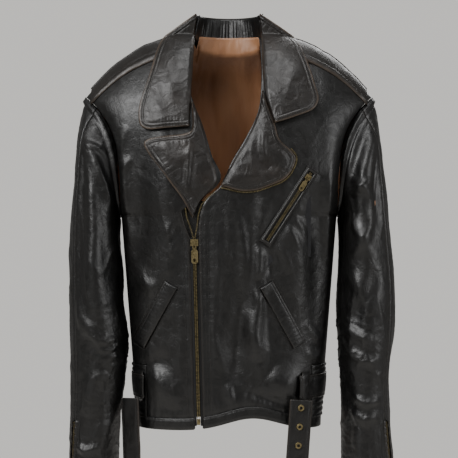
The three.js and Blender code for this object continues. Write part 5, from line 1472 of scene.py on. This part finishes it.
piece = skin(
    "back_belt_leather", belt, 2.4, black_leather, "jacket",
    0.5 * np.exp(-((np.minimum(v, 1 - v) / 0.05) ** 2)) + 0 * belt[..., 0],
)
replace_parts(piece, "back_belt")
lines = [(belt[k] + away[k] * 0.2, away[k]) for k in (2, 18)]
row("back_belt_stitches", lines, stitch_tree, STITCH, black_thread, "jacket")

for name, side, x0 in (("right", -1, 151.0), ("left", 1, 128.0)):
    top, foot = -BELT_DROP + 6.6, -BELT_DROP - BELT_HEIGHT - 6.6
    v = np.linspace(0, 1, 61)[:, None]
    u = np.linspace(0, 1, 15)[None]
    z = lerp(top, foot, v) + 0 * u
    x = side * (x0 - 6.5 + 13 * u) + 0 * v
    near = front_y(x, z, -0.8) - 1.2
    over = front_y(x, z, 0.0) - belt_stand(x, BELT_END[name]) - 2.6 - 2.6
    out = np.clip(1 - np.abs(2 * v - 1) ** 7, 0, 1)
    y = lerp(near, over, out) - 0.8 * np.sin(np.pi * u) ** 0.5
    piece = skin(
        f"{name}_loop_leather", np.stack([x, y, z], -1), 1.6, black_leather, "jacket",
        0.5 * np.exp(-((np.minimum(u, 1 - u) / 0.12) ** 2)) + 0 * v,
    )
    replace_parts(piece, f"{name}_belt_loop")


def belt_frame(x, y, turn, lean):
    """Turns a hanging strap's own x, y, z into place."""
    a, b = math.radians(turn), math.radians(lean)
    rz = np.array([[math.cos(a), -math.sin(a), 0], [math.sin(a), math.cos(a), 0], [0, 0, 1]])
    ry = np.array([[math.cos(b), 0, math.sin(b)], [0, 1, 0], [-math.sin(b), 0, math.cos(b)]])
    turned_by = rz @ ry
    return lambda q: np.array([x, y, -BELT_DROP - BELT_HEIGHT - 2.0]) + q @ turned_by.T, turned_by


def strap(name, path, place, turned_by, body, cad, tip=0.0, holes=()):
    """A two-layer strap along a path of (y, z), with stitched edges and a shaped tip."""
    p = np.array(path, float)
    run = np.concatenate([[0], np.cumsum(np.linalg.norm(np.diff(p, axis=0), axis=1))])
    at = np.linspace(0, run[-1], int(run[-1] / 1.6))
    yy, zz = np.interp(at, run, p[:, 0]), np.interp(at, run, p[:, 1])
    slope = np.stack([np.gradient(yy), np.gradient(zz)], -1)
    slope /= np.linalg.norm(slope, axis=1, keepdims=True)
    across = np.linspace(-1, 1, 31)[None]
    half = np.full(len(at), STRAP_HALF)
    if tip:
        left = np.clip((run[-1] - at) / tip, 0, 1)
        half = STRAP_HALF * np.maximum(1 - (1 - left) ** 2.4 * 0.86, 0.1)
    edge = (1 - np.abs(across)) * half[:, None]
    puff = 1.4 * (1 - np.clip(1 - edge / 1.6, 0, 1) ** 2) - 0.8 * np.exp(-(((edge - 4) / 1.1) ** 2))
    flat = np.stack([across * STRAP_HALF + 0 * at[:, None], 0 * edge, at[:, None] + 0 * across], -1)
    puff = puff + 0.5 * waves(flat, 40, len(at), 2)
    for hole in holes:
        puff = puff - 1.4 * np.exp(-((np.hypot(across * half[:, None], at[:, None] - hole) / 5.5) ** 4))
    q = np.stack(
        [across * half[:, None], yy[:, None] + slope[:, 1:] * puff, zz[:, None] - slope[:, :1] * puff], -1,
    )
    q_world = place(q)
    wear_and_painted_sheen = 0.8 * np.exp(-((edge / 2.0) ** 2)) + 0.15
    centre = place(np.array([[0, 40.0, -80]]))[0]
    piece = skin(
        name, q_world, STRAP_THICK, black_leather, body, wear_and_painted_sheen, core=(centre[0], centre[1]), rim_wear=0.9,
    )
    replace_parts(piece, cad)
    rows_of = []
    for column in (3, 27):
        rows_of.append(
            (
                q_world[:, column] + turned_by @ np.array([0, -0.25, 0]),
                np.tile(turned_by @ np.array([0, -1.0, 0]), (len(at), 1)),
            )
        )
    row(f"{name}_stitches", rows_of, stitch_tree, STITCH, black_thread, body)


place, turned_by = belt_frame(-165, -76, -38, -2.5)
radius = 2.8
turn_back = [
    (radius - (radius + 1.4) * math.cos(a), -(165 - radius) - (radius + 1.4) * math.sin(a))
    for a in np.linspace(0, math.pi, 14)
]
path = [(-1.4, 0), (-1.4, -60), (-1.4, -120)] + turn_back + [(2 * radius + 1.4, -138)]
strap("buckle_strap", path, place, turned_by, "right_belt", "right_belt_end")
place, turned_by = belt_frame(119, -108.1, 10, 4)
strap(
    "eyelet_strap", [(-1.3, 0), (-1.3, -175)], place, turned_by, "left_belt", "left_belt_end", tip=24,
    holes=EYELETS,
)

# ---------------------------------------------------------------- studio
# A pale floor below, a plain pale surround and soft daylight from the left.


def paper():
    """Matt painted board, off-white."""
    look, tree = blank("matt_board")
    place = put(tree, "ShaderNodeTexCoord").outputs["Object"]
    tooth = put(tree, "ShaderNodeTexNoise", Vector=place, Scale=60.0, Detail=4.0)
    bump = put(tree, "ShaderNodeBump", Strength=0.1, Distance=0.002, Height=tooth.outputs["Fac"])
    bsdf = put(
        tree, "ShaderNodeBsdfPrincipled", Base_Color=linear("#d9d6d1"), Roughness=0.9,
        Normal=bump.outputs[0],
    )
    put(tree, "ShaderNodeOutputMaterial", Surface=bsdf.outputs[0])
    return look


board = paper()
mesh = bpy.data.meshes.new("floor")
mesh.from_pydata([(-4, -4, -1.25), (4, -4, -1.25), (4, 3.4, -1.25), (-4, 3.4, -1.25)], [], [(0, 1, 2, 3)])
mesh.materials.append(board)
floor = bpy.data.objects.new("floor", mesh)
bpy.context.collection.objects.link(floor)

for name, at, size, power in (
    ("window", (-1.8, -2.0, 1.5), 1.5, 80),
    ("sky", (0.2, -0.9, 2.2), 1.4, 34),
    ("bounce", (2.1, -1.1, 0.1), 1.0, 15),
    ("rear", (0.6, 2.3, 1.4), 1.8, 50),
):
    lamp = bpy.data.lights.new(name, "AREA")
    lamp.size, lamp.energy = size, power
    light = bpy.data.objects.new(name, lamp)
    light.location = at
    way = np.array((0, 0, -0.32)) - np.array(at)
    light.rotation_euler = Vector(way.tolist()).to_track_quat("-Z", "Y").to_euler()
    bpy.context.collection.objects.link(light)

world = bpy.data.worlds.new("room")
bpy.context.scene.world = world
world.use_nodes = True
tree = world.node_tree
tree.nodes.clear()
seen = put(tree, "ShaderNodeLightPath").outputs["Is Camera Ray"]
# the surround is paler than the light it sheds, as a far lit wall is in a dim room
strength = put(tree, "ShaderNodeMapRange", Value=seen, i3=0.27, i4=1.0).outputs[0]
surround = put(tree, "ShaderNodeBackground", Color=linear("#dcdad6"), Strength=strength)
put(tree, "ShaderNodeOutputWorld", Surface=surround.outputs[0])

VIEW_WIDE = 0.7694
VIEW_FAR = 2.6
lens = bpy.data.cameras.new("camera")
lens.sensor_width = 36
lens.lens = 36 * VIEW_FAR / VIEW_WIDE
camera = bpy.data.objects.new("camera", lens)
camera.location = (0, -0.06 - VIEW_FAR, -0.324)
camera.rotation_euler = (math.pi / 2, 0, 0)
bpy.context.collection.objects.link(camera)
bpy.context.scene.camera = camera
